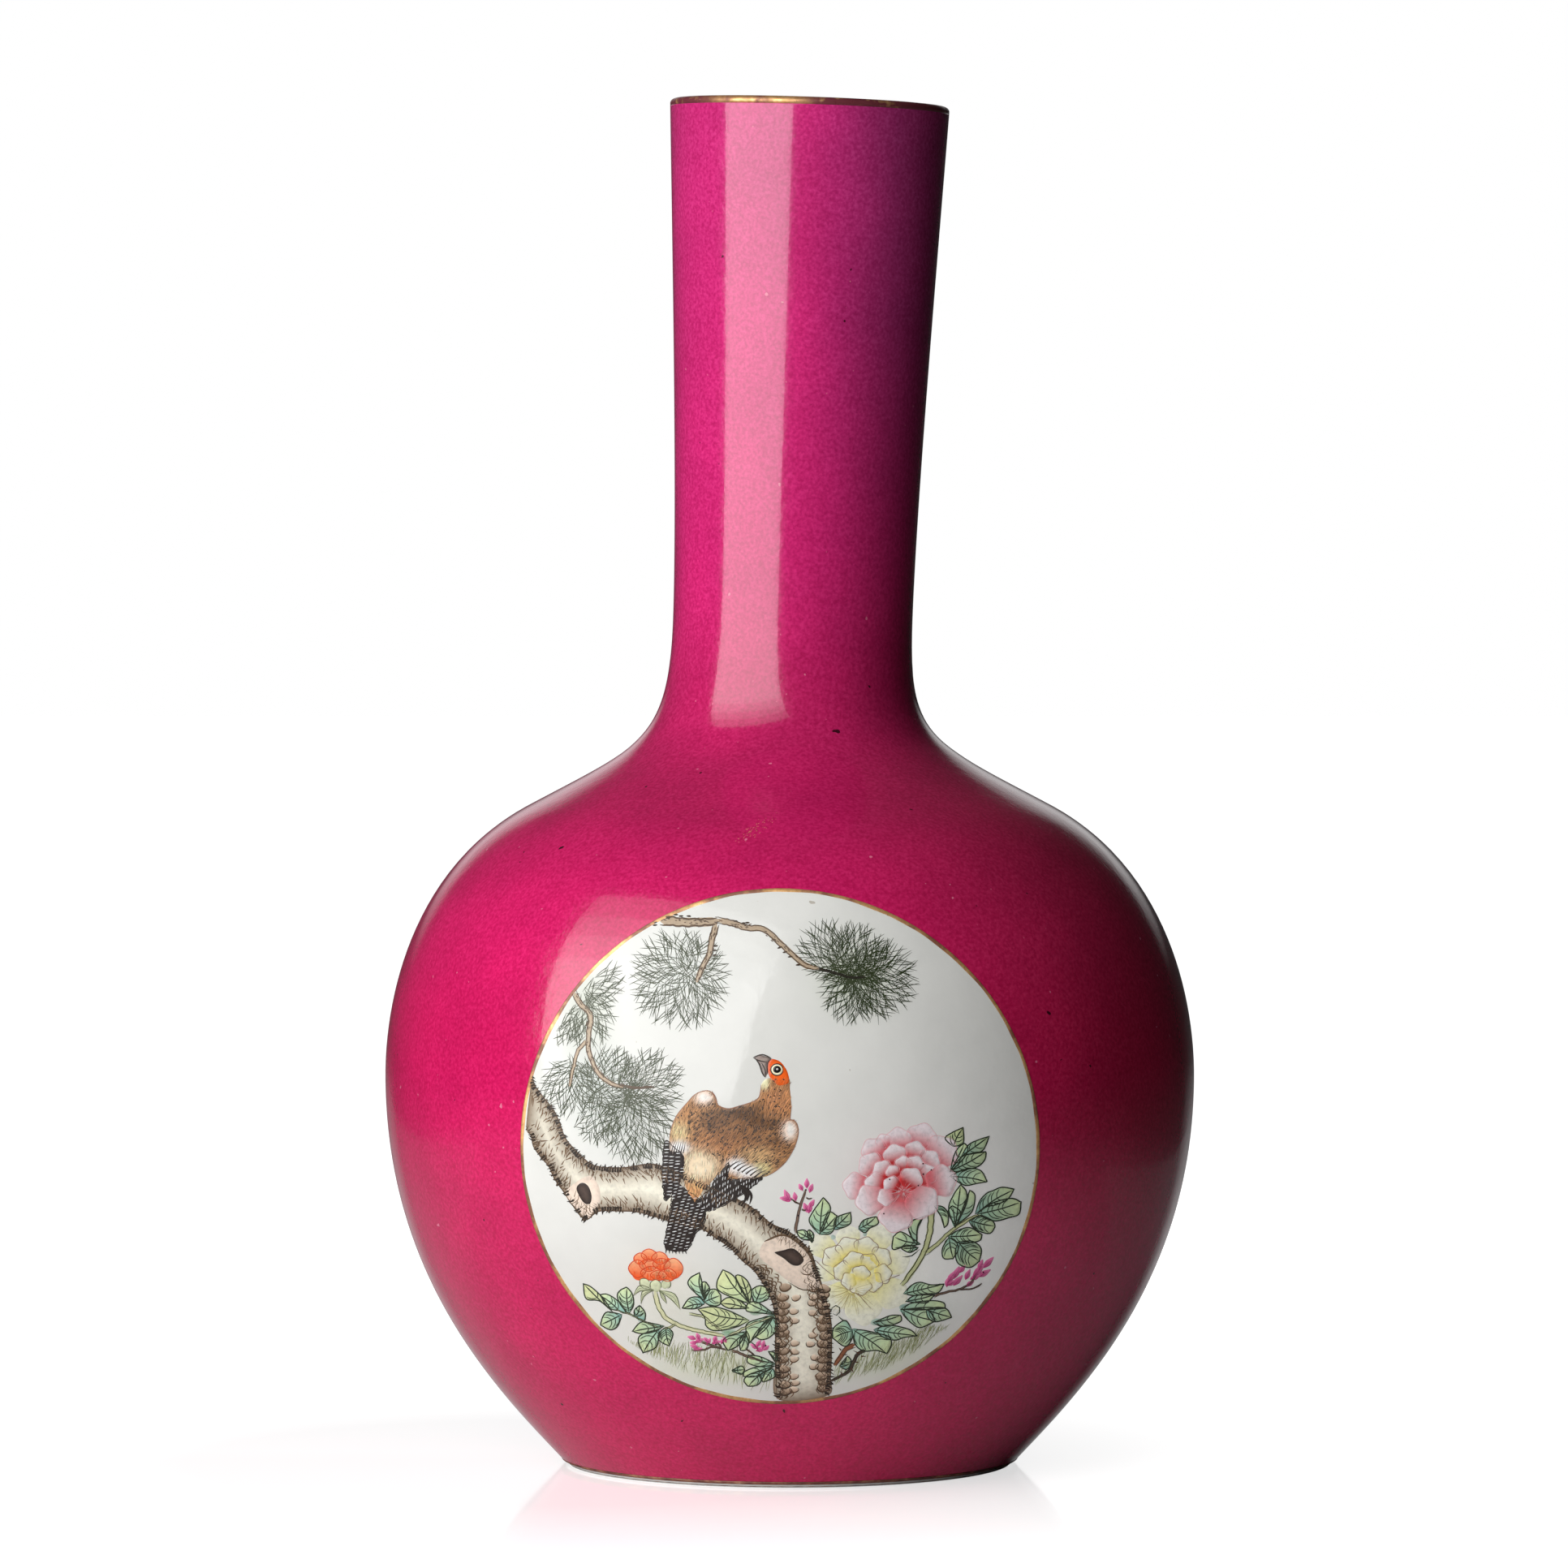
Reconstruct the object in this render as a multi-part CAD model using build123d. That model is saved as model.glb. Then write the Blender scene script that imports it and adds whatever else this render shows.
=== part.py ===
from build123d import *
import os
from math import cos, pi, radians, sin, sqrt, tan

# A bottle vase of globular form: thrown porcelain sections luted together with slip, a ruby
# enamel ground, two round white panels painted in raised enamels, and gilt lines. Millimetres,
# +Z up, origin on the foot's resting plane, at the centre of the body.

# ---- Driving dimensions ----
FOOT_RADIUS = 73.9          # the outer profile carried down to the resting plane
BELLY_RADIUS = 133.9
BELLY_HEIGHT = 129.0        # widest point, where the two body sections are luted
SHOULDER = (86.4, 218.0)    # radius and height where the shoulder turns from convex to concave
WAIST_RADIUS = 39.6
WAIST_HEIGHT = 279.3        # narrowest point of the neck
LIP_RADIUS = 46.2
HEIGHT = 450.0

SEAM_HEIGHT = 236.0         # the neck is luted on here
BEND_TOP = 262.0            # the neck's lean grows from the seam to this height
LEAN = 1.9                  # degrees that the neck stands out of true, towards +X

COAT = 0.4                  # ruby enamel over its glaze
PANEL_COAT = 0.25           # white glaze in the panels, a little lower than the ruby
RELIEF = 0.25               # painted enamel standing on the panels
GILT = 0.25
WALL_FOOT, WALL_BELLY, WALL_NECK, WALL_LIP = 7.5, 5.6, 5.0, 3.9

FOOT_OUTER = 73.2           # resting ring
FOOT_INNER = 66.0
FOOT_EDGE = 2.2             # height of the bare edge under the ruby ground
RECESS = 9.0                # depth of the base inside the foot ring
RECESS_RADIUS = 62.5
RECESS_CHAMFER = 4.0
FLOOR_TOP = 15.5            # inside, at the bottom
FLOOR_RADIUS = 62.0
CAVITY_START = 30.0         # above this height the inside follows the outer profile

LIP_GILT_HEIGHT = 2.6
LIP_ROUND = 1.3

PANEL_X, PANEL_Z = -3.2, 113.0
PANEL_RADIUS = 82.6
PANEL_LINE = 1.1            # width of the gilt line round a panel
STROKE_GAP = 0.1            # left where two strokes of the gilt line meet
UNIT = PANEL_RADIUS / 100   # the painting is set out in hundredths of its panel's radius

BEAD_HALF_HEIGHT = 5.0      # slip squeezed out inside a luted seam
BEAD_DEPTH = 1.6

FAR = 400.0                 # longer than any part of the vase is wide

# ---- Outer profile: four cubic curves from the foot to the lip, as (radius, height) ----
PROFILE = [
    [(FOOT_RADIUS, 0.0), (93.8, 21.5), (BELLY_RADIUS, 59.0), (BELLY_RADIUS, BELLY_HEIGHT)],
    [(BELLY_RADIUS, BELLY_HEIGHT), (BELLY_RADIUS, 149.5), (127.5, 196.1), SHOULDER],
    [SHOULDER, (47.7, 238.6), (WAIST_RADIUS, 239.5), (WAIST_RADIUS, WAIST_HEIGHT)],
    [(WAIST_RADIUS, WAIST_HEIGHT), (WAIST_RADIUS, 320.0), (44.2, 407.0), (LIP_RADIUS, HEIGHT)],
]


def wall(z):
    """Wall thickness, from the outermost surface to the inside, at a height."""
    heights = [0.0, BELLY_HEIGHT, WAIST_HEIGHT, HEIGHT]
    walls = [WALL_FOOT, WALL_BELLY, WALL_NECK, WALL_LIP]
    for (z0, z1), (w0, w1) in zip(zip(heights, heights[1:]), zip(walls, walls[1:])):
        if z <= z1:
            return w0 + (w1 - w0) * (z - z0) / (z1 - z0)
    return walls[-1]


def profile_point(t, inset=0.0):
    """(radius, height) at t, from 0 at the foot to 4 at the lip, moved inwards along the normal."""
    k = min(int(t), 3)
    s = t - k
    a, b, c, d = PROFILE[k]
    place = [(1 - s) ** 3 * a[i] + 3 * (1 - s) ** 2 * s * b[i] + 3 * (1 - s) * s * s * c[i] + s ** 3 * d[i]
             for i in (0, 1)]
    slope = [(1 - s) ** 2 * (b[i] - a[i]) + 2 * (1 - s) * s * (c[i] - b[i]) + s * s * (d[i] - c[i])
             for i in (0, 1)]
    depth = inset(place[1]) if callable(inset) else inset
    length = sqrt(slope[0] ** 2 + slope[1] ** 2)
    return place[0] - depth * slope[1] / length, place[1] + depth * slope[0] / length


def at_height(z, inset=0.0):
    """The t whose inset profile point lies at height z."""
    low, high = 0.0, 4.0
    for _ in range(40):
        middle = (low + high) / 2
        if profile_point(middle, inset)[1] < z:
            low = middle
        else:
            high = middle
    return (low + high) / 2


def radius_at(z, inset=0.0):
    return profile_point(at_height(z, inset), inset)[0]


def run(inset, z_low, z_high, count=18):
    """Points along the inset profile between two heights, as (radius, height)."""
    t0, t1 = at_height(z_low, inset), at_height(z_high, inset)
    points = [profile_point(t0 + (t1 - t0) * i / count, inset) for i in range(count + 1)]
    points[0] = (points[0][0], z_low)
    points[-1] = (points[-1][0], z_high)
    return points


def spline(points, **options):
    return Spline(*[(r, 0, z) for r, z in points], **options)


def arc(*points):
    return ThreePointArc(*[(r, 0, z) for r, z in points])


def lines(*points):
    return Polyline(*[(r, 0, z) for r, z in points])


def turned(*pieces):
    """The solid made by turning a closed outline in the XZ plane about Z."""
    return revolve(make_face([edge for piece in pieces for edge in piece.edges()]), Axis.Z)


def above(z):
    return Pos(0, 0, z + FAR / 2) * Box(FAR, FAR, FAR)


def below(z):
    return Pos(0, 0, z - FAR / 2) * Box(FAR, FAR, FAR)


# ---- Whole forms that the pieces are cut from, so neighbours share one surface ----
def body_form(inset):
    """The filled body, from the foot's edge to the neck seam, at an inset."""
    side = run(inset, FOOT_EDGE, SEAM_HEIGHT)
    return turned(spline(side), lines(side[-1], (0, SEAM_HEIGHT), (0, FOOT_EDGE), side[0]))


def body_cavity():
    side = [(FLOOR_RADIUS, FLOOR_TOP)] + run(wall, CAVITY_START, SEAM_HEIGHT)
    curve = spline(side, tangents=[(1, 0, 0), (-1, 0, 0.85)])
    return turned(curve, lines(side[-1], (0, SEAM_HEIGHT), (0, FLOOR_TOP), side[0]))


def neck_plane(z):
    """The plane square to the neck's axis at a height: level at the seam, leaning above the bend."""
    rise = min(max(z - SEAM_HEIGHT, 0.0), BEND_TOP - SEAM_HEIGHT)
    angle = radians(LEAN) * rise / (BEND_TOP - SEAM_HEIGHT)
    x = radians(LEAN) * rise ** 2 / (2 * (BEND_TOP - SEAM_HEIGHT)) + tan(radians(LEAN)) * max(z - BEND_TOP, 0.0)
    return Plane(origin=(x, 0, z), x_dir=(cos(angle), 0, -sin(angle)), z_dir=(sin(angle), 0, cos(angle)))


def straight(form):
    """A form whose heights count up from BEND_TOP, stood on the leaning axis."""
    return neck_plane(BEND_TOP).location * Pos(0, 0, -BEND_TOP) * form


def neck_form(inset):
    """The filled neck, from its level seam to the lip's top, at an inset."""
    heights = [SEAM_HEIGHT - 6, SEAM_HEIGHT - 3, SEAM_HEIGHT, 241, 248, 255, BEND_TOP, 270, WAIST_HEIGHT, 300,
               330, 365, 400, 430, HEIGHT]
    form = loft([neck_plane(z) * Circle(radius_at(z, inset)) for z in heights])
    return form & above(SEAM_HEIGHT)


def lip_line(lift):
    """The rounded lip as points outside, on top and inside, lifted off the porcelain by a coat."""
    low, top = HEIGHT - GILT - LIP_ROUND, HEIGHT - GILT
    outer, inner = radius_at(low, COAT), radius_at(low, wall)
    return (outer + lift, low), ((outer + inner) / 2, top + lift), (inner - lift, low)


# ---- Porcelain ----
def body():
    """Both body sections in one, with the turned foot ring and the recessed base."""
    r_edge = radius_at(FOOT_EDGE, COAT)
    ring = turned(lines((0, 0), (FOOT_OUTER, 0), (r_edge, FOOT_EDGE), (0, FOOT_EDGE), (0, 0)))
    recess = turned(lines((0, 0), (FOOT_INNER, 0), (RECESS_RADIUS, RECESS - 2.5),
                          (RECESS_RADIUS - RECESS_CHAMFER, RECESS), (0, RECESS), (0, 0)))
    return body_form(COAT) + ring - recess - body_cavity()


def neck():
    """The neck from its seam to its rounded lip."""
    outer, top, inner = lip_line(0.0)
    trim = turned(arc(outer, top, inner), lines(inner, (0, inner[1]), (0, HEIGHT + 9), (60, HEIGHT + 9),
                                                (60, outer[1]), outer))
    return neck_form(COAT) - neck_form(wall) - straight(trim)


def slip_bead(z, cavity):
    """Slip squeezed out inside a luted seam and smoothed to a low ridge."""
    low, high = z - BEAD_HALF_HEIGHT, z + BEAD_HALF_HEIGHT
    r_low, r_high = radius_at(low, wall), radius_at(high, wall)
    r_crown = radius_at(z, wall) - BEAD_DEPTH
    ring = turned(arc((r_low, low), (r_crown, z), (r_high, high)),
                  lines((r_high, high), (r_low + 20, high), (r_low + 20, low), (r_low, low)))
    return ring & cavity


def base_glaze():
    """White glaze on the recessed base."""
    edge = RECESS_RADIUS - RECESS_CHAMFER
    return turned(lines((0, RECESS), (edge, RECESS), (edge - 0.5, RECESS - COAT), (0, RECESS - COAT), (0, RECESS)))


# ---- Ground and gilding ----
def bar(face):
    """A bar through the front of the body, with the outline of a face set out on the panel."""
    plane = Plane(origin=(PANEL_X, 0, PANEL_Z), x_dir=(1, 0, 0), z_dir=(0, -1, 0))
    return extrude(plane * face, FAR / 2, dir=(0, -1, 0))


def both_sides(shape):
    """The shape on the front, and its mirror image on the back."""
    return shape, mirror(shape, about=Plane.XZ)


def ruby_ground_body():
    front, rear = both_sides(bar(Circle(PANEL_RADIUS)))
    return body_form(0.0) - body_form(COAT) - front - rear


def lip_gilding(porcelain):
    """The gilt band over the lip's outside, crown and inner edge."""
    start = HEIGHT - LIP_GILT_HEIGHT
    outer, top, inner = lip_line(GILT)
    r_start = radius_at(start, COAT) + GILT
    core = (outer[0] + inner[0]) / 2
    block = turned(lines(inner, (core, inner[1]), (core, start), (r_start, start), outer), arc(outer, top, inner))
    return straight(block) - porcelain


def foot_dressing():
    """The brown dressing on the bare edge between the ruby ground and the resting ring."""
    low, high = 0.3, FOOT_EDGE
    r_high = radius_at(FOOT_EDGE, COAT)
    r_low = FOOT_OUTER + (r_high - FOOT_OUTER) * low / FOOT_EDGE
    return turned(lines((r_low, low), (r_low + GILT, low), (r_high + GILT, high), (r_high, high), (r_low, low)))


# ---- Painted enamels. Places are in hundredths of the panel's radius, right and up ----
def spot(u, v):
    return u * UNIT, v * UNIT


def outline(*points):
    """A face inside one smooth closed curve."""
    return make_face(Spline(*[spot(u, v) for u, v in points], periodic=True))


def ray(u, v, degrees, length):
    """The place at a distance from (u, v) in a direction."""
    return spot(u + length * cos(radians(degrees)), v + length * sin(radians(degrees)))


def blossom(u, v, radius, petals):
    """A flower head edged by round petals."""
    turn = 360 / petals
    edges = [ThreePointArc(ray(u, v, turn * i, radius * 0.88), ray(u, v, turn * (i + 0.5), radius),
                           ray(u, v, turn * (i + 1), radius * 0.88)) for i in range(petals)]
    return make_face(edges)


def tuft(u, v, radius, points=9):
    """A round spray of pine needles."""
    turn = 180 / points
    ring = [ray(u, v, turn * i, radius * (0.66 if i % 2 else 1.0)) for i in range(2 * points)]
    return make_face(Polyline(*ring, close=True))


def leaf(u, v, direction, length, share=0.42):
    """A leaf with a point at each end, from its base at (u, v)."""
    half_angle = 2 * 45 * share / pi * 2
    reach = length / 2 / cos(radians(half_angle))
    tip, base = ray(u, v, direction, length), spot(u, v)
    left, right = ray(u, v, direction + half_angle, reach), ray(u, v, direction - half_angle, reach)
    return make_face([ThreePointArc(base, left, tip), ThreePointArc(tip, right, base)])


def bird():
    return outline((-10, 34), (-4, 35.5), (1.5, 32), (3.5, 22), (4, 14), (7, 8), (3, -3), (-8, -12), (-24, -23),
                   (-33, -40), (-44, -38), (-42, -24), (-45, -12), (-41, 4), (-38, 16), (-30, 22), (-22, 15),
                   (-12, 18), (-7, 25), (-5.5, 29))


def trunk():
    return outline((-93, 28), (-88, 14), (-80, 1), (-68, -7), (-48, -8), (-30, -16), (-14, -21), (0, -33),
                   (10, -37), (15, -50), (19, -72), (18, -95), (9, -98), (-1, -95), (-1, -74), (-5, -56),
                   (-16, -42), (-32, -31), (-52, -26), (-68, -24), (-74, -28), (-82, -20), (-92, -4), (-97, 8))


def polygon(*points):
    return make_face(Polyline(*[spot(u, v) for u, v in points], close=True))


def bough():
    return polygon((-48, 86.5), (-38, 88), (-24, 91), (-14, 88), (-7, 86), (0, 81), (7, 73.5), (17, 70), (6, 70.5),
                   (-3, 78), (-10, 83), (-21, 85), (-25, 77), (-29.5, 66), (-29, 77), (-27, 85.5), (-40, 85))


def grass():
    return polygon((-50, -80), (-30, -83), (-8, -87), (-4, -95), (-18, -94), (-36, -89))


NEEDLES = [(-42, 67, 16), (22, 77, 12), (37, 66, 13), (-78, 55, 10), (-66, 21, 13), (-50, 27, 14), (-57, 7, 12)]

LEAVES = [
    (64, -1, 62, 12), (65, -5, 30, 16), (66, -9, -14, 13), (67, -27, 92, 14), (74, -27, 38, 18),
    (76, -28, 0, 18), (72, -30, -40, 12), (66, -33, -105, 14), (16, -33, 62, 14), (20, -33, 32, 9),
    (50, -36, 158, 9), (46, -56, 24, 19), (48, -60, -10, 18), (34, -68, -8, 14), (26, -66, -40, 15),
    (22, -66, -100, 9), (-56, -64, 134, 14), (-53, -61, 95, 12), (-60, -67, 200, 12), (-44, -72, 200, 12),
    (-43, -75, 250, 12), (-28, -64, 118, 12), (-12, -56, 140, 14), (-10, -62, 165, 16), (-6, -68, 190, 24),
    (-6, -76, 205, 14),
]

BUDS = [(11, -20, 92, 5), (8, -24, 140, 5), (13, -24, 40, 5), (70, -50, 100, 6), (78, -52, 40, 6),
        (-32, -77, 160, 5), (-30, -81, 200, 5)]


def apart(faces):
    """The same faces, every later one cut back where an earlier one lies."""
    kept = []
    for face in faces:
        for earlier in kept:
            face = face - earlier
        kept.append(face)
    return kept


def gilt_line():
    """The gilt line inside a panel's edge, pulled in four strokes that just meet."""
    ring = Circle(PANEL_RADIUS) - Circle(PANEL_RADIUS - PANEL_LINE)
    quarter = Pos(STROKE_GAP / 2, STROKE_GAP / 2) * Rectangle(FAR, FAR, align=(Align.MIN, Align.MIN))
    coat = body_form(COAT - PANEL_COAT - GILT) - body_form(COAT - PANEL_COAT)
    coat = coat & Pos(0, -FAR / 2, 0) * Box(FAR, FAR, FAR * 2)
    strokes = [coat & bar(ring & Rot(0, 0, start) * quarter) for start in (45, 135, 225, 315)]
    return Compound([solid for stroke in strokes for solid in stroke.solids()])


def painted_enamels():
    """Each motif as its own raised deposit: none lies over another, and all stay inside the gilt line."""
    inside = Circle(PANEL_RADIUS - PANEL_LINE - 0.2)
    coat = body_form(COAT - PANEL_COAT - RELIEF) - body_form(COAT - PANEL_COAT)
    coat = coat & Pos(0, -FAR / 2, 0) * Box(FAR, FAR, FAR * 2)
    motifs = [
        ("bird", [bird()]),
        ("pine_trunk", [trunk()]),
        ("pine_bough", [bough()]),
        ("pink_peony", [blossom(47, -12, 17, 9)]),
        ("yellow_peony", [blossom(30, -50, 17, 9)]),
        ("coral_peony", [blossom(-49, -47, 9, 6)]),
        ("peony_leaves", [leaf(*place) for place in LEAVES]),
        ("bud_sprays", [leaf(*place, share=0.5) for place in BUDS]),
        ("pine_needles", [tuft(*place) for place in NEEDLES]),
        ("grass", [grass()]),
    ]
    kept = apart([face for _, faces in motifs for face in faces])
    enamels = {}
    for name, faces in motifs:
        solids = []
        for _ in faces:
            solids += (coat & bar(kept.pop(0) & inside)).solids()
        enamels[name] = Compound(solids)
    return enamels


def main():
    os.makedirs("parts", exist_ok=True)
    pot = body()
    neck_section = neck()
    beside_neck = neck_form(wall)
    cavity = body_cavity()
    disc = bar(Circle(PANEL_RADIUS))
    nodes = {
        "lower_body_section": pot & below(BELLY_HEIGHT),
        "upper_body_section": pot & above(BELLY_HEIGHT),
        "neck_section": neck_section,
        "belly_slip_seam": slip_bead(BELLY_HEIGHT, cavity),
        "neck_slip_seam": slip_bead(SEAM_HEIGHT, cavity + beside_neck),
        "base_glaze": base_glaze(),
        "ruby_ground_body": ruby_ground_body(),
        "ruby_ground_neck": neck_form(0.0) - neck_form(COAT) - straight(above(HEIGHT - LIP_GILT_HEIGHT)),
        "lip_gilding": lip_gilding(neck_section),
        "foot_dressing": foot_dressing(),
    }
    glaze = (body_form(COAT - PANEL_COAT) - body_form(COAT)) & disc
    nodes["front_panel_glaze"], nodes["rear_panel_glaze"] = both_sides(glaze)
    nodes["front_panel_gilt_line"], nodes["rear_panel_gilt_line"] = both_sides(gilt_line())
    for name, enamel in painted_enamels().items():
        nodes["front_" + name], nodes["rear_" + name] = both_sides(enamel)
    for name, shape in nodes.items():
        print(name, len(shape.solids()), round(sum(s.volume for s in shape.solids())))
        export_step(shape, f"parts/{name}.step")


main()
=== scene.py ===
import bmesh
import bpy
import random
import numpy as np
from math import atan2, cos, degrees, pi, radians, sin, sqrt
from mathutils import Matrix, Vector
from mathutils.geometry import delaunay_2d_cdt


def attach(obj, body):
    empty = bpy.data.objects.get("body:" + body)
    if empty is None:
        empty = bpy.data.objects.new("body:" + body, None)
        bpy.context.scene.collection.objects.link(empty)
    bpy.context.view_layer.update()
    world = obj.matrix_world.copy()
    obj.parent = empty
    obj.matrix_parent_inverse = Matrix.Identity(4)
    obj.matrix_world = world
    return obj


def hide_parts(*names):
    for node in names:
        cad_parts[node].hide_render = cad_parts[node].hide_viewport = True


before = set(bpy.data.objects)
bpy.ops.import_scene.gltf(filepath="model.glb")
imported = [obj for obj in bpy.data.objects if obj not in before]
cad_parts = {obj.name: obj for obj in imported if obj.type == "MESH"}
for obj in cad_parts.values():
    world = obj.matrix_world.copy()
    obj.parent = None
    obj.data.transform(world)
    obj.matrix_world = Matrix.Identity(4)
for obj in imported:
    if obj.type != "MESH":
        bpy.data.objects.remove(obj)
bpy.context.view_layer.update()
MM = 0.001

# ---- The vase's form, as in part.py: millimetres ----
PROFILE = [
    [(73.9, 0.0), (93.8, 21.5), (133.9, 59.0), (133.9, 129.0)],
    [(133.9, 129.0), (133.9, 149.5), (127.5, 196.1), (86.4, 218.0)],
    [(86.4, 218.0), (47.7, 238.6), (39.6, 239.5), (39.6, 279.3)],
    [(39.6, 279.3), (39.6, 320.0), (44.2, 407.0), (46.2, 450.0)],
]
SEAM_HEIGHT, BEND_TOP, HEIGHT, LEAN = 236.0, 262.0, 450.0, radians(1.9)
COAT, PANEL_INSET, FOOT_EDGE = 0.4, 0.15, 2.2
LIP_GILT_HEIGHT, LIP_ROUND, GILT, WALL_LIP = 2.6, 1.3, 0.25, 3.9
PANEL_X, PANEL_Z, PANEL_RADIUS = -3.2, 113.0, 82.6


def bezier(points, s):
    """Points along a cubic curve, at shares s of its run."""
    a, b, c, d = (np.array(p) for p in points)
    s = s[:, None]
    return (1 - s) ** 3 * a + 3 * (1 - s) ** 2 * s * b + 3 * (1 - s) * s ** 2 * c + s ** 3 * d


STEPS = np.linspace(0, 1, 800)
TABLE = np.vstack([bezier(part, STEPS) for part in PROFILE])
SLOPE = np.gradient(TABLE[:, 0]) / np.maximum(np.gradient(TABLE[:, 1]), 1e-9)
KEEP = np.concatenate([[True], np.diff(TABLE[:, 1]) > 1e-6])
TABLE, SLOPE = TABLE[KEEP], SLOPE[KEEP]


def radius(z):
    """The outside radius at a height."""
    return np.interp(z, TABLE[:, 1], TABLE[:, 0])


def vase_point(theta, z, lift):
    """The point in metres at an angle from the front and a height, lifted off the surface."""
    theta, z, lift = np.broadcast_arrays(*(np.asarray(value, float) for value in (theta, z, lift)))
    slope = np.interp(z, TABLE[:, 1], SLOPE)
    steep = np.sqrt(1 + slope ** 2)
    r = radius(z) + lift / steep
    h = z - lift * slope / steep
    rise = np.clip(h - SEAM_HEIGHT, 0, BEND_TOP - SEAM_HEIGHT)
    angle = LEAN * rise / (BEND_TOP - SEAM_HEIGHT)
    shift = LEAN * rise ** 2 / 2 / (BEND_TOP - SEAM_HEIGHT) + np.tan(LEAN) * np.clip(h - BEND_TOP, 0, None)
    across = r * np.sin(theta)
    return np.stack([shift + across * np.cos(angle), -r * np.cos(theta), h - across * np.sin(angle)], -1) * MM


def panel_point(u, v, lift):
    """A place on the front panel, in hundredths of its radius, as a point in metres."""
    u, v, lift = np.broadcast_arrays(*(np.asarray(value, float) for value in (u, v, lift)))
    x = PANEL_X + u * PANEL_RADIUS / 100
    z = PANEL_Z + v * PANEL_RADIUS / 100
    return vase_point(np.arcsin(np.clip(x / radius(z), -1, 1)), z, lift - PANEL_INSET)


# ---- Materials ----
class Nodes:
    """A node tree and short ways to build in it. A socket may stand wherever a colour or a number may."""

    def __init__(self, tree):
        self.tree = tree

    def feed(self, socket, value):
        """Gives a socket its value, or links it to the socket that makes it."""
        if isinstance(value, bpy.types.NodeSocket):
            self.tree.links.new(value, socket)
        else:
            socket.default_value = (*value, 1) if isinstance(value, tuple) else value

    def add(self, kind, **values):
        """A node with its inputs fed, or its settings made, by name."""
        made = self.tree.nodes.new("ShaderNode" + kind)
        for name, value in values.items():
            key = name.replace("_", " ")
            if key in made.inputs:
                self.feed(made.inputs[key], value)
            else:
                setattr(made, name, value)
        return made

    def axis(self, name, kind="Object"):
        """How far along one axis each point lies, in metres."""
        return self.add("SeparateXYZ", Vector=self.add("TexCoord").outputs[kind]).outputs[name]

    def noise(self, scale, detail, roughness=0.55):
        """Noise over the object's own coordinates. A scale of 1000 makes features about a millimetre wide."""
        made = self.add("TexNoise", Vector=self.add("TexCoord").outputs["Object"], Scale=scale, Detail=detail,
                        Roughness=roughness)
        return made.outputs["Fac"]

    def ramp(self, source, *stops):
        """Stops are (position, colour or grey level)."""
        made = self.add("ValToRGB", Fac=source)
        band = made.color_ramp
        while len(band.elements) < len(stops):
            band.elements.new(0.5)
        for element, (position, colour) in zip(band.elements, stops):
            element.position = position
            element.color = (*colour, 1) if isinstance(colour, tuple) else (colour, colour, colour, 1)
        return made.outputs["Color"]

    def cloud(self, scale, detail, *stops, roughness=0.55):
        """Noise turned into colours or grey levels."""
        return self.ramp(self.noise(scale, detail, roughness), *stops)

    def blend(self, share, first, second, mode="MIX"):
        """The first colour turned into the second by a share."""
        made = self.add("Mix", data_type="RGBA", blend_type=mode)
        for number, value in ((0, share), (6, first), (7, second)):
            self.feed(made.inputs[number], value)
        return made.outputs[2]

    def times(self, first, second):
        """Two colours multiplied."""
        return self.blend(1.0, first, second, "MULTIPLY")


class Finish(Nodes):
    """A material with one glossy shader."""

    def __init__(self, name, colour=(0.8, 0.8, 0.8), roughness=0.2, coat=0.0, specular=0.5):
        self.material = bpy.data.materials.new(name)
        self.material.use_nodes = True
        super().__init__(self.material.node_tree)
        self.shader = self.tree.nodes["Principled BSDF"]
        self.set(Base_Color=colour, Roughness=roughness, Coat_Weight=coat, Coat_Roughness=0.04,
                 Specular_IOR_Level=specular)

    def set(self, **values):
        """The shader's inputs, by name."""
        for name, value in values.items():
            self.feed(self.shader.inputs[name.replace("_", " ")], value)

    def bumps(self, *layers):
        """Layers are (noise scale, detail, strength, distance in metres), one bump on the other."""
        normal = None
        for scale, detail, strength, distance in layers:
            made = self.add("Bump", Height=self.noise(scale, detail), Strength=strength, Distance=distance)
            if normal:
                self.feed(made.inputs["Normal"], normal)
            normal = made.outputs["Normal"]
        self.set(Normal=normal)


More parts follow.
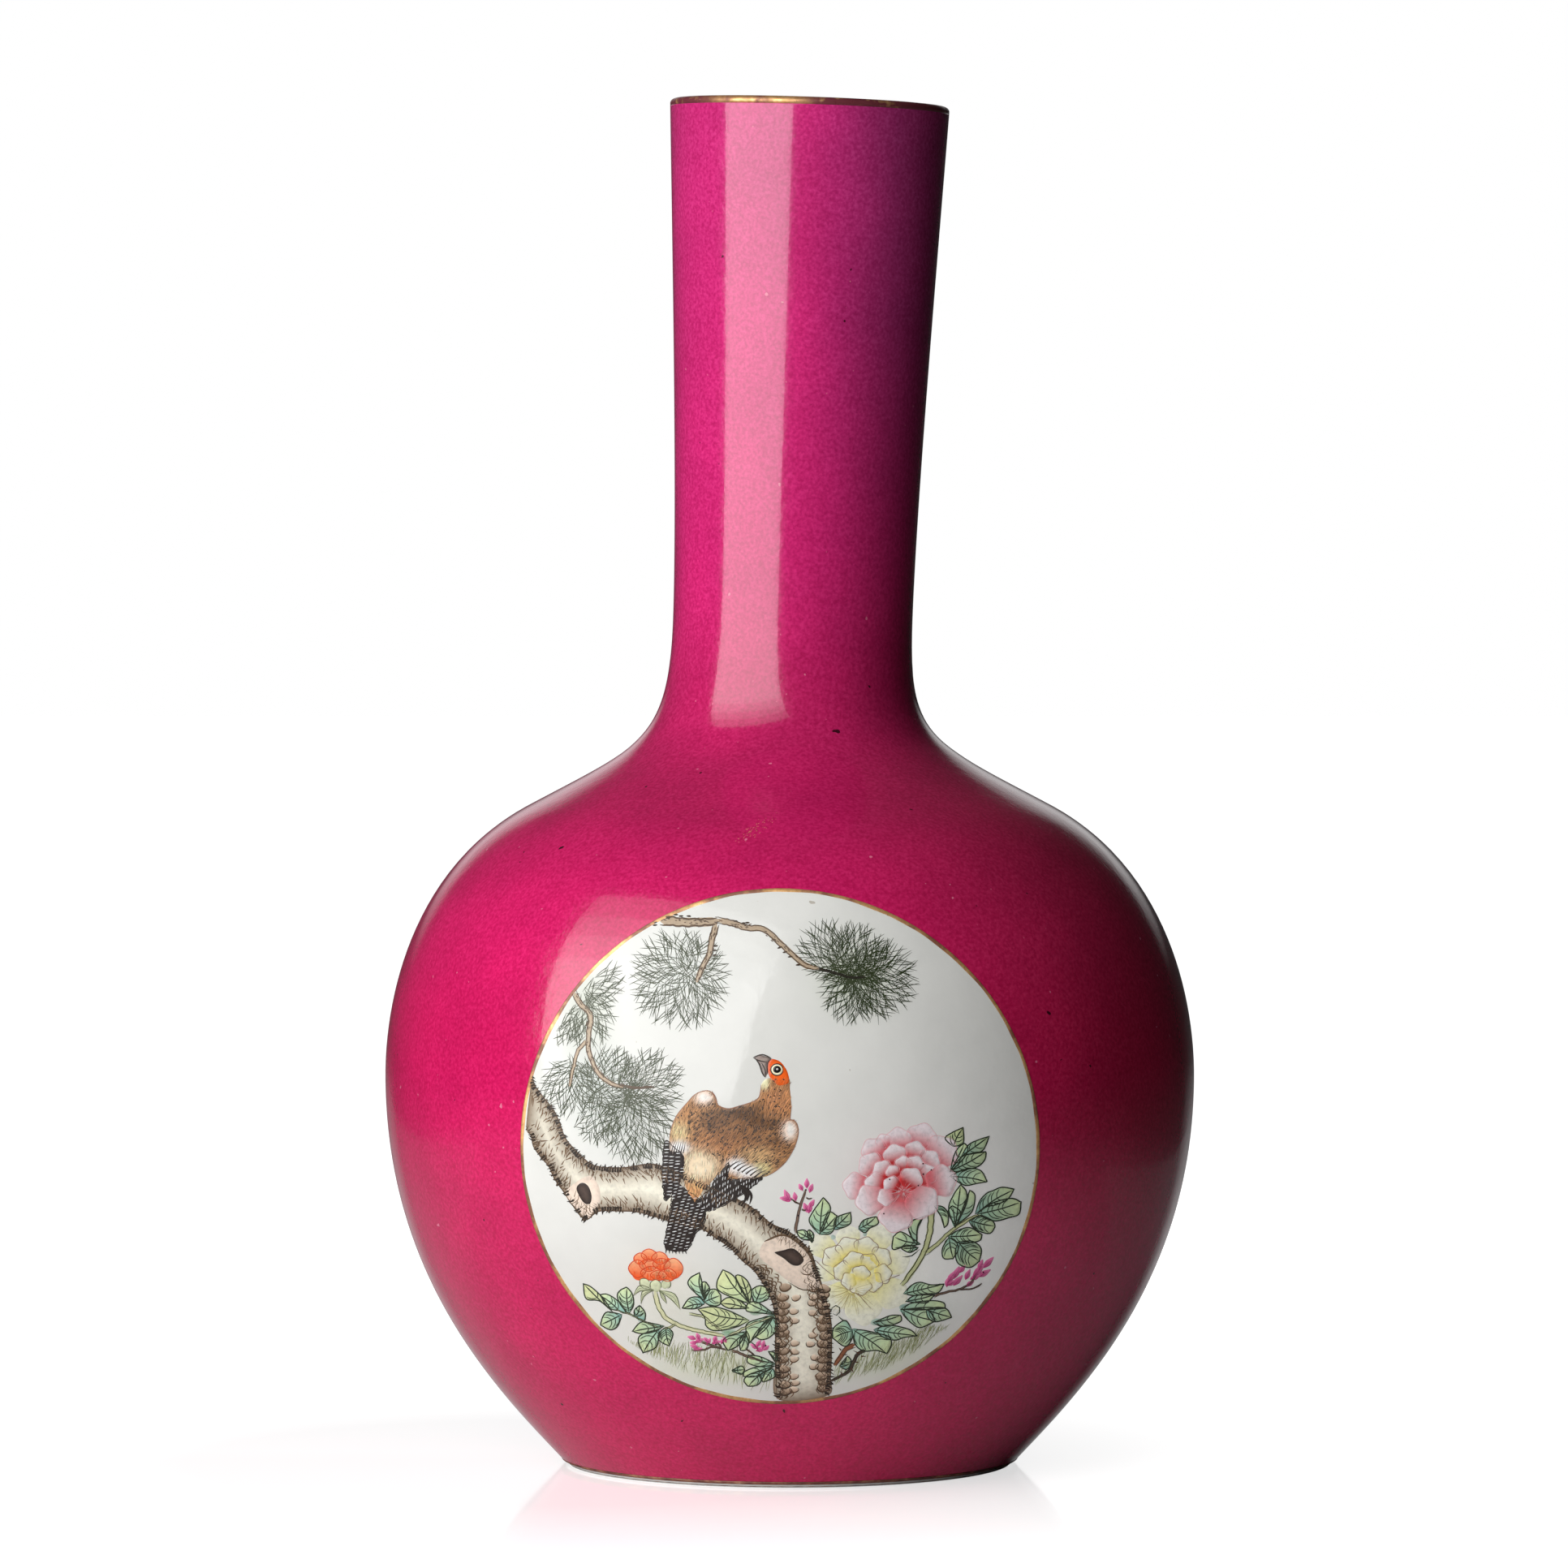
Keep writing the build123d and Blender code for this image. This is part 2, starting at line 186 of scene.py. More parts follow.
def ruby_enamel():
    """Deep rose-red enamel with a fine powdery grain, bluer up the neck, with painted shade making it darker
    to the right and round the shoulder.
    """
    ruby = Finish("ruby_enamel", roughness=0.16, coat=0.45, specular=0.36)
    x, z = ruby.axis("X"), ruby.axis("Z")
    fine = ruby.noise(900, 3)
    body = ruby.ramp(fine, (0.34, (0.51, 0.005, 0.080)), (0.52, (0.61, 0.009, 0.106)),
                     (0.70, (0.70, 0.016, 0.136)))
    neck = ruby.ramp(fine, (0.34, (0.49, 0.010, 0.112)), (0.52, (0.60, 0.016, 0.150)),
                     (0.70, (0.69, 0.026, 0.190)))
    colour = ruby.blend(ruby.ramp(z, (0.15, 0), (0.28, 1)), body, neck)
    colour = ruby.times(colour, ruby.ramp(z, (0.26, 1), (0.44, (1.0, 1.6, 1.22))))
    # Painted shade: from the lower belly up, the ruby is darker and less blue towards the right (+X) side,
    # front and back, where the light falls off.
    painted_shade_right = ruby.times(ruby.ramp(x, (0.015, 0), (0.11, 1)), ruby.ramp(z, (0.07, 0), (0.12, 1)))
    purple = ruby.times(ruby.ramp(x, (0.005, 0), (0.035, 1)), ruby.ramp(z, (0.28, 0), (0.38, 1)))
    for share, tone in ((painted_shade_right, (0.74, 1.5, 0.60)), (purple, (0.80, 1.3, 1.16))):
        colour = ruby.blend(share, colour, ruby.times(colour, tone))
    # Painted shade: the ruby is darker round the shoulder, 0.18 to 0.30 m up, to dim the light it catches
    # there.
    shoulder_painted_shade = (0.84, 1, 0.8)
    colour = ruby.times(colour, ruby.ramp(z, (0.18, 1), (0.22, shoulder_painted_shade), (0.25, shoulder_painted_shade), (0.30, 1)))
    colour = ruby.times(colour, ruby.cloud(28, 3, (0.3, 0.88), (0.7, 1.08)))
    specks = ruby.cloud(460, 1, (0.815, 0), (0.835, 1), roughness=0.2)
    colour = ruby.blend(specks, colour, (0.70, 0.16, 0.28))
    pits = ruby.cloud(330, 1, (0.165, 1), (0.185, 0), roughness=0.3)
    colour = ruby.blend(pits, colour, (0.05, 0.004, 0.012))
    ruby.set(Base_Color=colour, Roughness=ruby.cloud(60, 4, (0.3, 0.12), (0.75, 0.20)))
    ruby.bumps((520, 2, 0.10, 0.0006), (130, 1, 0.06, 0.0015))
    return ruby.material


GLAZE_RIPPLES = (260, 2, 0.08, 0.0008), (60, 1, 0.05, 0.003)


def white_glaze():
    """Clear glaze over a slightly cool white body, with a few brown specks."""
    white = Finish("white_glaze", roughness=0.08, coat=0.2, specular=0.34)
    colour = white.cloud(40, 4, (0.3, (0.78, 0.79, 0.765)), (0.7, (0.85, 0.855, 0.83)))
    specks = white.cloud(330, 1, (0.785, 0), (0.80, 1), roughness=0.2)
    white.set(Base_Color=white.blend(specks, colour, (0.35, 0.31, 0.26)))
    white.bumps(*GLAZE_RIPPLES)
    return white.material


def painted_white():
    """The panel's glaze, with soft colour that the brush washed on it and painted light and shade, all
    carried in the tint at each point.
    """
    panel = Finish("panel_glaze", roughness=0.09, coat=0.15, specular=0.34)
    wash = panel.add("Attribute", attribute_name="tint")
    colour = panel.times(wash.outputs["Color"], panel.cloud(45, 4, (0.3, 0.955), (0.7, 1.03)))
    specks = panel.cloud(420, 1, (0.83, 0), (0.85, 1), roughness=0.2)
    panel.set(Base_Color=panel.blend(specks, colour, (0.52, 0.48, 0.42)))
    panel.bumps(*GLAZE_RIPPLES)
    return panel.material


def brushed_enamel():
    """Painted enamels: each vertex carries its colour, broken up by the brush's streaks and pooling."""
    enamel = Finish("painted_enamel", roughness=0.22, coat=0.1, specular=0.34)
    paint = enamel.add("Attribute", attribute_name="tint")
    pooled = enamel.cloud(700, 4, (0.25, 0.80), (0.5, 1.0), (0.8, 1.12))
    enamel.set(Base_Color=enamel.times(paint.outputs["Color"], pooled),
               Roughness=enamel.cloud(90, 3, (0.3, 0.16), (0.75, 0.32)))
    enamel.bumps((900, 3, 0.12, 0.0003))
    return enamel.material


def worn_gilding(name, brown, gold_places=()):
    """Gold rubbed through to the brown under it. gold_places says, by X plus 0.1 m, where the gold keeps this
    wear and where only flecks of gold show on brown.
    """
    gold = Finish(name, roughness=0.32)
    wear = gold.cloud(75, 5, (0.41, 0), (0.57, 1), roughness=0.65)
    if gold_places:
        shifted = gold.add("Math", operation="ADD")
        gold.feed(shifted.inputs[0], gold.axis("X"))
        gold.feed(shifted.inputs[1], 0.1)
        glints = gold.cloud(240, 4, (0.30, 0.25), (0.45, 1), roughness=0.6)
        wear = gold.blend(gold.ramp(shifted.outputs[0], *gold_places), glints, wear)
    fine = gold.cloud(800, 3, (0.3, (0.62, 0.33, 0.12)), (0.7, (0.80, 0.48, 0.21)))
    gold.set(Base_Color=gold.blend(wear, fine, brown), Metallic=gold.ramp(wear, (0.0, 0.55), (1.0, 0.15)),
             Roughness=gold.cloud(300, 4, (0.3, 0.24), (0.7, 0.48)))
    gold.bumps((700, 3, 0.2, 0.0003))
    return gold.material


def foot_dressing_brown():
    """Dry brown dressing, mottled from near black to a worn pale tan."""
    brown = Finish("foot_dressing", roughness=0.5)
    colour = brown.cloud(220, 5, (0.32, (0.07, 0.02, 0.018)), (0.5, (0.20, 0.07, 0.045)),
                         (0.66, (0.40, 0.20, 0.11)), (0.78, (0.62, 0.50, 0.42)), roughness=0.65)
    brown.set(Base_Color=colour, Roughness=brown.cloud(150, 4, (0.3, 0.35), (0.7, 0.65)))
    brown.bumps((500, 4, 0.35, 0.0005))
    return brown.material


RUBY, WHITE, PANEL, PAINT = ruby_enamel(), white_glaze(), painted_white(), brushed_enamel()
GOLD, FOOT_BROWN = worn_gilding("worn_gilding", (0.24, 0.10, 0.055)), foot_dressing_brown()
LIP_GOLD_PLACES = (0.070, 0), (0.080, 1), (0.098, 1), (0.112, 0)
LIP_GOLD = worn_gilding("lip_gilding", (0.17, 0.035, 0.045), LIP_GOLD_PLACES)


# ---- Meshes ----
def add_piece(name, points, faces, material, nodes, tint=None, closed=False):
    """A mesh piece that rides with the vase; points are in metres."""
    mesh = bpy.data.meshes.new(name)
    mesh.from_pydata([tuple(p) for p in points], [], [tuple(int(i) for i in face) for face in faces])
    if tint is not None:
        layer = mesh.color_attributes.new("tint", "FLOAT_COLOR", "POINT")
        values = np.ones((len(points), 4), np.float32)
        values[:, :3] = tint
        layer.data.foreach_set("color", values.ravel())
    if closed:
        shape = bmesh.new()
        shape.from_mesh(mesh)
        bmesh.ops.remove_doubles(shape, verts=shape.verts, dist=2e-6)
        bmesh.ops.recalc_face_normals(shape, faces=shape.faces)
        shape.to_mesh(mesh)
        shape.free()
    mesh.polygons.foreach_set("use_smooth", np.full(len(mesh.polygons), True))
    mesh.update()
    piece = bpy.data.objects.new(name, mesh)
    bpy.context.scene.collection.objects.link(piece)
    mesh.materials.append(material)
    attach(piece, "root")
    if nodes:
        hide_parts(*nodes)


class Net:
    """Points and faces, built up from sheets of quads."""

    def __init__(self):
        self.points, self.faces = [], []

    def sheet(self, grid):
        """Quads over a grid of points, rows by columns."""
        grid = np.asarray(grid)
        rows, columns = grid.shape[:2]
        first = len(self.points)
        self.points.extend(grid.reshape(-1, 3))
        for i in range(rows - 1):
            for j in range(columns - 1):
                corner = first + i * columns + j
                self.faces.append((corner, corner + 1, corner + columns + 1, corner + columns))


PATCH_ANGLE = radians(50)
PATCH_LOW, PATCH_HIGH, PATCH_ROWS = 22.0, 203.0, 50
RUBY_TOP = HEIGHT - LIP_GILT_HEIGHT
BELLY = 125  # turns angles round the belly into lengths


def patch_border():
    """Angles and heights round the edge of the squarish patch that holds a panel, 4 x 50 steps."""
    sides = np.linspace(-1, 1, PATCH_ROWS + 1)[:-1]
    one = np.ones(PATCH_ROWS)
    theta = np.concatenate([sides, one, -sides, -one, [-1]]) * PATCH_ANGLE
    height = np.concatenate([-one, sides, one, -sides, [-1]])
    return theta, PATCH_LOW + (height + 1) / 2 * (PATCH_HIGH - PATCH_LOW)


def panel_edge(theta, z):
    """The panel's edge as seen from its centre towards each border point, as angles and heights."""
    angle = np.arctan2(z - PANEL_Z, BELLY * theta - PANEL_X)
    height = PANEL_Z + PANEL_RADIUS * np.sin(angle)
    return np.arcsin((PANEL_X + PANEL_RADIUS * np.cos(angle)) / radius(height)), height


def ruby_skin(net, lift):
    """The ruby ground as one skin over body and neck, with a round window on each side."""
    theta, z = patch_border()
    inner_theta, inner_z = panel_edge(theta, z)
    for side in (0, 1):
        rings = []
        for share in (0, 0.004, *np.linspace(0, 1, 17)[1:] ** 1.3):
            a, h = inner_theta + (theta - inner_theta) * share, inner_z + (z - inner_z) * share
            rings.append(vase_point(pi - a if side else a, h, lift))
        net.sheet(rings)
    heights = np.linspace(PATCH_LOW, PATCH_HIGH, PATCH_ROWS + 1)
    for start in (PATCH_ANGLE, -pi + PATCH_ANGLE):
        columns = np.linspace(start, start + pi - 2 * PATCH_ANGLE, 41)
        net.sheet([vase_point(columns, h, lift) for h in heights])
    around = np.linspace(-pi, pi, 181)
    low = [FOOT_EDGE, *np.linspace(FOOT_EDGE + 0.2, PATCH_LOW, 10)]
    high = [*np.linspace(PATCH_HIGH, BEND_TOP, 34), *np.linspace(BEND_TOP, RUBY_TOP - 0.2, 40)[1:], RUBY_TOP]
    for band in (low, high):
        net.sheet([vase_point(around, h, lift) for h in band])


def ruby_ground():
    """Outside and inside skins, joined round the windows, the foot and the lip."""
    net = Net()
    ruby_skin(net, 0.0)
    ruby_skin(net, -COAT)
    theta, z = patch_border()
    edge_theta, edge_z = panel_edge(theta, z)
    around = np.linspace(-pi, pi, 181)
    for side in (0, 1):
        net.sheet([vase_point(pi - edge_theta if side else edge_theta, edge_z, lift)
                   for lift in (0.0, -COAT)])
    for edge in (FOOT_EDGE, RUBY_TOP):
        net.sheet([vase_point(around, edge, lift) for lift in (-COAT, 0.0)])
    add_piece("ruby_ground", net.points, net.faces, RUBY,
              ["ruby_ground_body", "ruby_ground_neck"], closed=True)


def both_panels(name, points, faces, material, stands_for, tint=None):
    """The piece on the front panel, and its mirror image on the rear one."""
    for side in ("front", "rear"):
        place = points if side == "front" else np.asarray(points) * (1, -1, 1)
        turned = faces if side == "front" else [tuple(face)[::-1] for face in faces]
        add_piece(f"{side}_{name}", place, turned, material, [f"{side}_{stands_for}"], tint)


def polar(radii):
    """Rings of panel places, from the centre out."""
    angle = np.linspace(0, 2 * pi, 241)
    return [(r * np.cos(angle), r * np.sin(angle)) for r in radii]


def panel_glaze():
    """The round panels of white glaze, with the colour washed on them and painted light and shade carried as
    a colour at each point.
    """
    net = Net()
    rings = polar(np.linspace(0.02, 99.9, 61))
    inner = PANEL_INSET - COAT
    for lift in (0.0, inner):
        net.sheet([panel_point(u, v, lift) for u, v in rings])
    net.sheet([panel_point(*rings[-1], lift) for lift in (0.0, inner)])
    places = np.array(net.points)
    u = (places[:, 0] / MM - PANEL_X) / PANEL_RADIUS * 100
    v = (places[:, 2] / MM - PANEL_Z) / PANEL_RADIUS * 100
    both_panels("panel_glaze", net.points, net.faces, PANEL, "panel_glaze", washes_and_painted_light(u, v))


def gilt_line():
    """A thin raised line, uneven as a brush leaves it."""
    angle = np.linspace(0, 2 * pi, 721)
    wobble = 0.12 * np.sin(7 * angle + 1) + 0.10 * np.sin(17 * angle) + 0.06 * np.sin(41 * angle + 2)
    outer, width = 100.3, 1.25 + wobble
    net = Net()
    rows = []
    for across, height in ((0, -0.05), (0.03, 0.16), (0.2, 0.22), (0.6, 0.10), (0.9, 0.05), (1, -0.04)):
        r = outer - width * across
        rows.append(panel_point(r * np.cos(angle), r * np.sin(angle), height))
    net.sheet(rows)
    both_panels("gilt_line", net.points, net.faces, GOLD, "panel_gilt_line")


def ring_of(rows):
    """A closed ring turned round the body's axis, from an outline of (radius, height)."""
    around = np.linspace(0, 2 * pi, 361)
    net = Net()
    net.sheet([np.stack([r * np.cos(around), r * np.sin(around), z + 0 * around], -1) * MM for r, z in rows])
    return net


def on_neck(points):
    """Points about an upright axis, stood on the neck's leaning one."""
    turn = Matrix.Rotation(LEAN, 3, "Y")
    foot = Vector((LEAN * (BEND_TOP - SEAM_HEIGHT) / 2 * MM, 0, BEND_TOP * MM))
    return [foot + turn @ (Vector(p) - Vector((0, 0, BEND_TOP * MM))) for p in points]


def lip_gilding():
    """The gilt band over the outside and crown of the lip."""
    start, top = HEIGHT - LIP_GILT_HEIGHT, HEIGHT
    outer = float(radius(start)) + 0.02
    low = top - GILT - LIP_ROUND
    inner = float(radius(low)) - WALL_LIP
    middle, half = (outer + inner) / 2, (outer - inner) / 2
    skin = 0.3
    arc = [(middle + half * cos(a), low + (top - low) * sin(a)) for a in np.linspace(0, pi, 13)]
    under = [(middle + (half - skin) * cos(a), low + (top - low - skin) * sin(a))
             for a in np.linspace(pi, 0, 13)]
    outline = [(outer - 0.05, start), *arc, *under, (outer - 0.45, start), (outer - 0.05, start)]
    net = ring_of(outline)
    add_piece("lip_gilding", on_neck(net.points), net.faces, LIP_GOLD, ["lip_gilding"],
              closed=True)


def foot_dressing():
    """The worn brown dressing on the foot's bare edge."""
    edge = float(radius(FOOT_EDGE))
    outline = [(73.0, 0.15), (73.55, 0.3), (73.9, 0.9), (edge - 0.25, 1.7), (edge - 0.1, FOOT_EDGE),
               (edge - 0.8, FOOT_EDGE), (72.9, 0.3), (73.0, 0.15)]
    net = ring_of(outline)
    add_piece("foot_dressing", net.points, net.faces, FOOT_BROWN, ["foot_dressing"],
              closed=True)


def washes_and_painted_light(u, v):
    """The panel's colour at each place: white glaze under thin washed-on enamel, with painted light and shade
    that lighten the panel's right and darken its left.
    """
    colour = np.tile(BARE_GLAZE, (len(u), 1))
    for cu, cv, reach_u, reach_v, shade, strength in WASHES_AND_PAINTED_LIGHT:
        share = np.exp(-(((u - cu) / reach_u) ** 2 + ((v - cv) / reach_v) ** 2)) * strength
        colour = colour * (1 - share[:, None]) + np.array(shade) * share[:, None]
    return colour


BARE_GLAZE = np.array([0.77, 0.77, 0.735])
WASHES_AND_PAINTED_LIGHT = [  # centre, reach across, reach up, colour, strength
    (-38, 66, 14, 14, (0.48, 0.56, 0.50), 0.55), (28, 67, 13, 12, (0.42, 0.50, 0.32), 0.55),
    (-71, 27, 11, 13, (0.38, 0.46, 0.42), 0.7), (-56, 15, 15, 16, (0.38, 0.46, 0.42), 0.7),
    # Painted light and shade, not enamel: (75, -40) lightens the panel's right side, (-35, 30) darkens its
    # upper left, and (-37, -62) darkens and yellows its lower left.
    (75, -40, 55, 60, (0.97, 0.97, 0.94), 1.0), (-35, 30, 50, 60, (0.69, 0.69, 0.655), 0.85),
    (-37, -62, 26, 16, (0.72, 0.72, 0.63), 0.8), (-75, 54, 10, 16, (0.42, 0.46, 0.36), 0.6),
    (-32, -86, 22, 7, (0.70, 0.75, 0.55), 0.55), (-18, -85, 9, 6, (0.68, 0.73, 0.50), 0.5),
    (36, -83, 16, 8, (0.72, 0.78, 0.58), 0.6), (50, -78, 12, 7, (0.76, 0.80, 0.64), 0.5),
    (46, -9, 20, 17, (0.86, 0.66, 0.68), 0.45), (31, -48, 18, 18, (0.82, 0.80, 0.56), 0.4),
    (-48, -46, 12, 9, (0.90, 0.70, 0.55), 0.2), (58, -62, 10, 7, (0.58, 0.70, 0.60), 0.3),
    (-18, -66, 10, 6, (0.58, 0.70, 0.58), 0.3)]

for name in ("lower_body_section", "upper_body_section", "neck_section", "base_glaze", "belly_slip_seam",
             "neck_slip_seam"):
    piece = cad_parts[name]
    piece.data.materials.clear()
    piece.data.materials.append(WHITE)

ruby_ground()
panel_glaze()
gilt_line()
lip_gilding()
foot_dressing()


# ---- Painting. Places are in hundredths of the panel's radius, right and up from its centre ----
dice = random.Random(7)


def ink(red, green, blue):
    """An enamel's own colour, from the 0 to 255 values that it shows in the studio's light."""
    values = (np.array([red, green, blue]) / 255 + 0.055) / 1.055
    return np.clip(values ** 2.4 * 1.08, 0.002, 0.9)


def heading(angle):
    """A step of one in a direction given in radians."""
    return np.array([cos(angle), sin(angle)])


def unit(ways):
    """Steps brought to a length of one."""
    return ways / np.maximum(np.hypot(ways[..., 0], ways[..., 1]), 1e-9)[..., None]


def left(ways):
    """Steps turned a quarter to the left."""
    return np.stack([-ways[..., 1], ways[..., 0]], -1)


def smooth(points, step, closed=False):
    """An even run of points along a smooth curve through the given ones."""
    p = np.array(points, float)
    if len(p) == 2:
        count = max(int(np.hypot(*(p[1] - p[0])) / step), 4)
        return p[0] + (p[1] - p[0]) * np.linspace(0, 1, count + 1)[:, None]
    if closed:
        p = np.vstack([p[-1], p, p[0], p[1]])
    else:
        p = np.vstack([2 * p[0] - p[1], p, 2 * p[-1] - p[-2]])
    t = np.linspace(0, 1, 12, endpoint=False)[:, None]
    runs = []
    for a, b, c, d in zip(p, p[1:], p[2:], p[3:]):
        runs.append(0.5 * (2 * b + (c - a) * t + (2 * a - 5 * b + 4 * c - d) * t ** 2
                           + (3 * b - a - 3 * c + d) * t ** 3))
    dense = np.vstack(runs + [p[-2:-1]])
    along = np.concatenate([[0], np.cumsum(np.hypot(*np.diff(dense, axis=0).T))])
    even = np.linspace(0, along[-1], max(int(along[-1] / step), 4) + 1)
    line = np.stack([np.interp(even, along, dense[:, i]) for i in (0, 1)], -1)
    return line[:-1] if closed else line


def inside(points, outline):
    """Which points lie inside a closed outline."""
    x, y = points[:, 0][:, None], points[:, 1][:, None]
    a, b = outline, np.roll(outline, -1, 0)
    spans = (a[:, 1] > y) != (b[:, 1] > y)
    rise = np.where(b[:, 1] == a[:, 1], 1e-9, b[:, 1] - a[:, 1])
    return (spans & (x < a[:, 0] + (y - a[:, 1]) * (b[:, 0] - a[:, 0]) / rise)).sum(1) % 2 == 1


def distance(points, line):
    """How far each point is from the nearest point of a line."""
    return np.hypot(points[:, None, 0] - line[None, :, 0], points[:, None, 1] - line[None, :, 1]).min(1)


TAPERS = {"both": lambda t: np.sqrt(np.sin(pi * t) + 0.02), "out": lambda t: (1.02 - t) ** 0.6,
          "even": lambda t: np.minimum(1, 8 * np.minimum(t, 1 - t) + 0.3)}


SUNK = -0.03  # how far the edges of paint go below the glaze, in mm


class Brush:
    """Painted shapes gathered into one mesh, with a colour at each point."""

    def __init__(self):
        self.places, self.faces, self.tints, self.count = [], [], [], 0

    def add(self, u, v, lift, tint):
        n = len(u)
        self.places.append(np.stack([u, v, np.broadcast_to(lift, (n,))], -1))
        self.tints.append(np.broadcast_to(tint, (n, 3)))
        self.count += n
        return self.count - n

    def stroke(self, points, width, tint, lift, taper="both", step=1.6, crown=0.035):
        """One pull of the brush: a ribbon with a raised middle and edges sunk into what it lies on."""
        line = smooth(points, step)
        side = left(unit(np.gradient(line, axis=0)))
        half = (width / 2 * TAPERS[taper](np.linspace(0, 1, len(line))))[:, None]
        tint = np.asarray(tint)
        if tint.ndim == 2:
            tint = tint[0] + (tint[1] - tint[0]) * np.linspace(0, 1, len(line))[:, None]
        starts = [self.add(*(line + side * half * k).T, lift + (crown if k == 0 else SUNK), tint)
                  for k in (1, 0, -1)]
        for a, b in zip(starts, starts[1:]):
            for i in range(len(line) - 1):
                self.faces.append((a + i, b + i, b + i + 1, a + i + 1))

    def wash(self, points, shade, lift, grid=1.5, step=0.9, edge=0.35):
        """A filled shape with a rounded edge. shade gives colours from places and depths inside the edge."""
        border = smooth(points, step, closed=True)
        area = (border[:, 0] * np.roll(border[:, 1], -1) - border[:, 1] * np.roll(border[:, 0], -1)).sum()
        if area < 0:
            border = border[::-1]
        ring = border + left(unit(np.roll(border, -1, 0) - np.roll(border, 1, 0))) * edge
        ring = ring[inside(ring, border) & (distance(ring, border) > edge * 0.8)]
        low, high = border.min(0), border.max(0)
        rows = []
        for k, v in enumerate(np.arange(low[1], high[1], grid * 0.87)):
            u = np.arange(low[0] + (k % 2) * grid / 2, high[0], grid)
            rows.append(np.stack([u, v + 0 * u], -1))
        fill = np.vstack(rows)
        fill = fill[inside(fill, border)]
        if len(fill):
            fill = fill[distance(fill, border) > edge + grid * 0.35]
        everything = np.vstack([border, ring, fill])
        n = len(border)
        edges = [(i, (i + 1) % n) for i in range(n)]
        verts, _, faces, origin, _, _ = delaunay_2d_cdt([Vector(p) for p in everything], edges, [], 1, 1e-6)
        spots = np.array([tuple(p) for p in verts])
        depth = distance(spots, border)
        on_edge = np.array([not first or first[0] < n for first in origin])
        lifts = np.where(on_edge, SUNK, lift)
        start = self.add(spots[:, 0], spots[:, 1], lifts, shade(spots, np.where(on_edge, 0, depth)))
        self.faces.extend(tuple(start + i for i in face) for face in faces)

    def dot(self, place, tint, lift):
        """A small round spot."""
        self.wash(around(place, 0.4, 0.4, count=8), flat(tint), lift, 0.5, 0.3, 0.1)

    def points(self):
        """All the painted places as points in metres."""
        return panel_point(*np.vstack(self.places).T)

    def build(self, name):
        """Turns the paint into a piece on each panel, in place of the CAD's piece of that name."""
        both_panels(name, self.points(), self.faces, PAINT, name, np.vstack(self.tints))


def flat(tint):
    """One colour all over."""
    return lambda places, depth: np.broadcast_to(tint, (len(places), 3))


def edged(edge, middle, reach):
    """Darker or richer at the outline, paler inside."""
    edge, middle = np.array(edge), np.array(middle)
    return lambda places, depth: edge + (middle - edge) * np.clip(depth / reach, 0, 1)[:, None] ** 0.8


def along(start, first, end, second, edge=None):
    """A change of colour from one place to another, with an optional darker edge."""
    start, end, first, second = (np.array(value, float) for value in (start, end, first, second))

    def shade(places, depth):
        way = end - start
        share = np.clip(((places - start) @ way) / (way @ way), 0, 1)[:, None]
        tint = first + (second - first) * share
        if edge is not None:
            tint = tint * (edge + (1 - edge) * np.clip(depth / 1.5, 0, 1)[:, None])
        return tint
    return shade


def around(centre, rx, ry, turn=0, count=14, wave=0.0, lobes=5):
    """An oval outline, wavy if asked."""
    angle = np.arange(count) * 2 * pi / count
    swell = 1 + wave * np.cos(lobes * angle)
    x, y = rx * swell * np.cos(angle), ry * swell * np.sin(angle)
    c, s = heading(radians(turn))
    return np.stack([centre[0] + x * c - y * s, centre[1] + x * s + y * c], -1)


def mixed(first, second, share):
    """The first colour moved towards the second."""
    return np.array(first) * (1 - share) + np.array(second) * share


# ---- Pine ----
NEEDLE, DARK_NEEDLE = ink(72, 78, 58), ink(46, 56, 32)
NEEDLE_LIMIT = 97.5
TUFTS = [  # centre, reach, darkness, and where its needles spring from
    ((-38.3, 66.0), 20.8, 0.15, (-35, 69)), ((-71, 64), 12, 0.10, (-74, 60)),
    ((-75, 51), 13, 0.15, (-74, 56)), ((-84, 48), 9, 0.25, (-78, 56)), ((-81, 24), 12.5, 0.25, (-79, 32)),
    ((-65, 27), 14, 0.20, (-70, 22)), ((-50, 26), 14.5, 0.15, (-58, 22)),
    ((-55, 10), 16.5, 0.25, (-58, 20)), ((-70, 11), 10, 0.35, (-68, 22)), ((18, 77), 12.5, 0.60, (22, 70)),
    ((29, 74), 14, 0.75, (26, 69)), ((38, 66), 16, 0.85, (30, 67)), ((28, 62), 13.5, 0.95, (30, 69))]


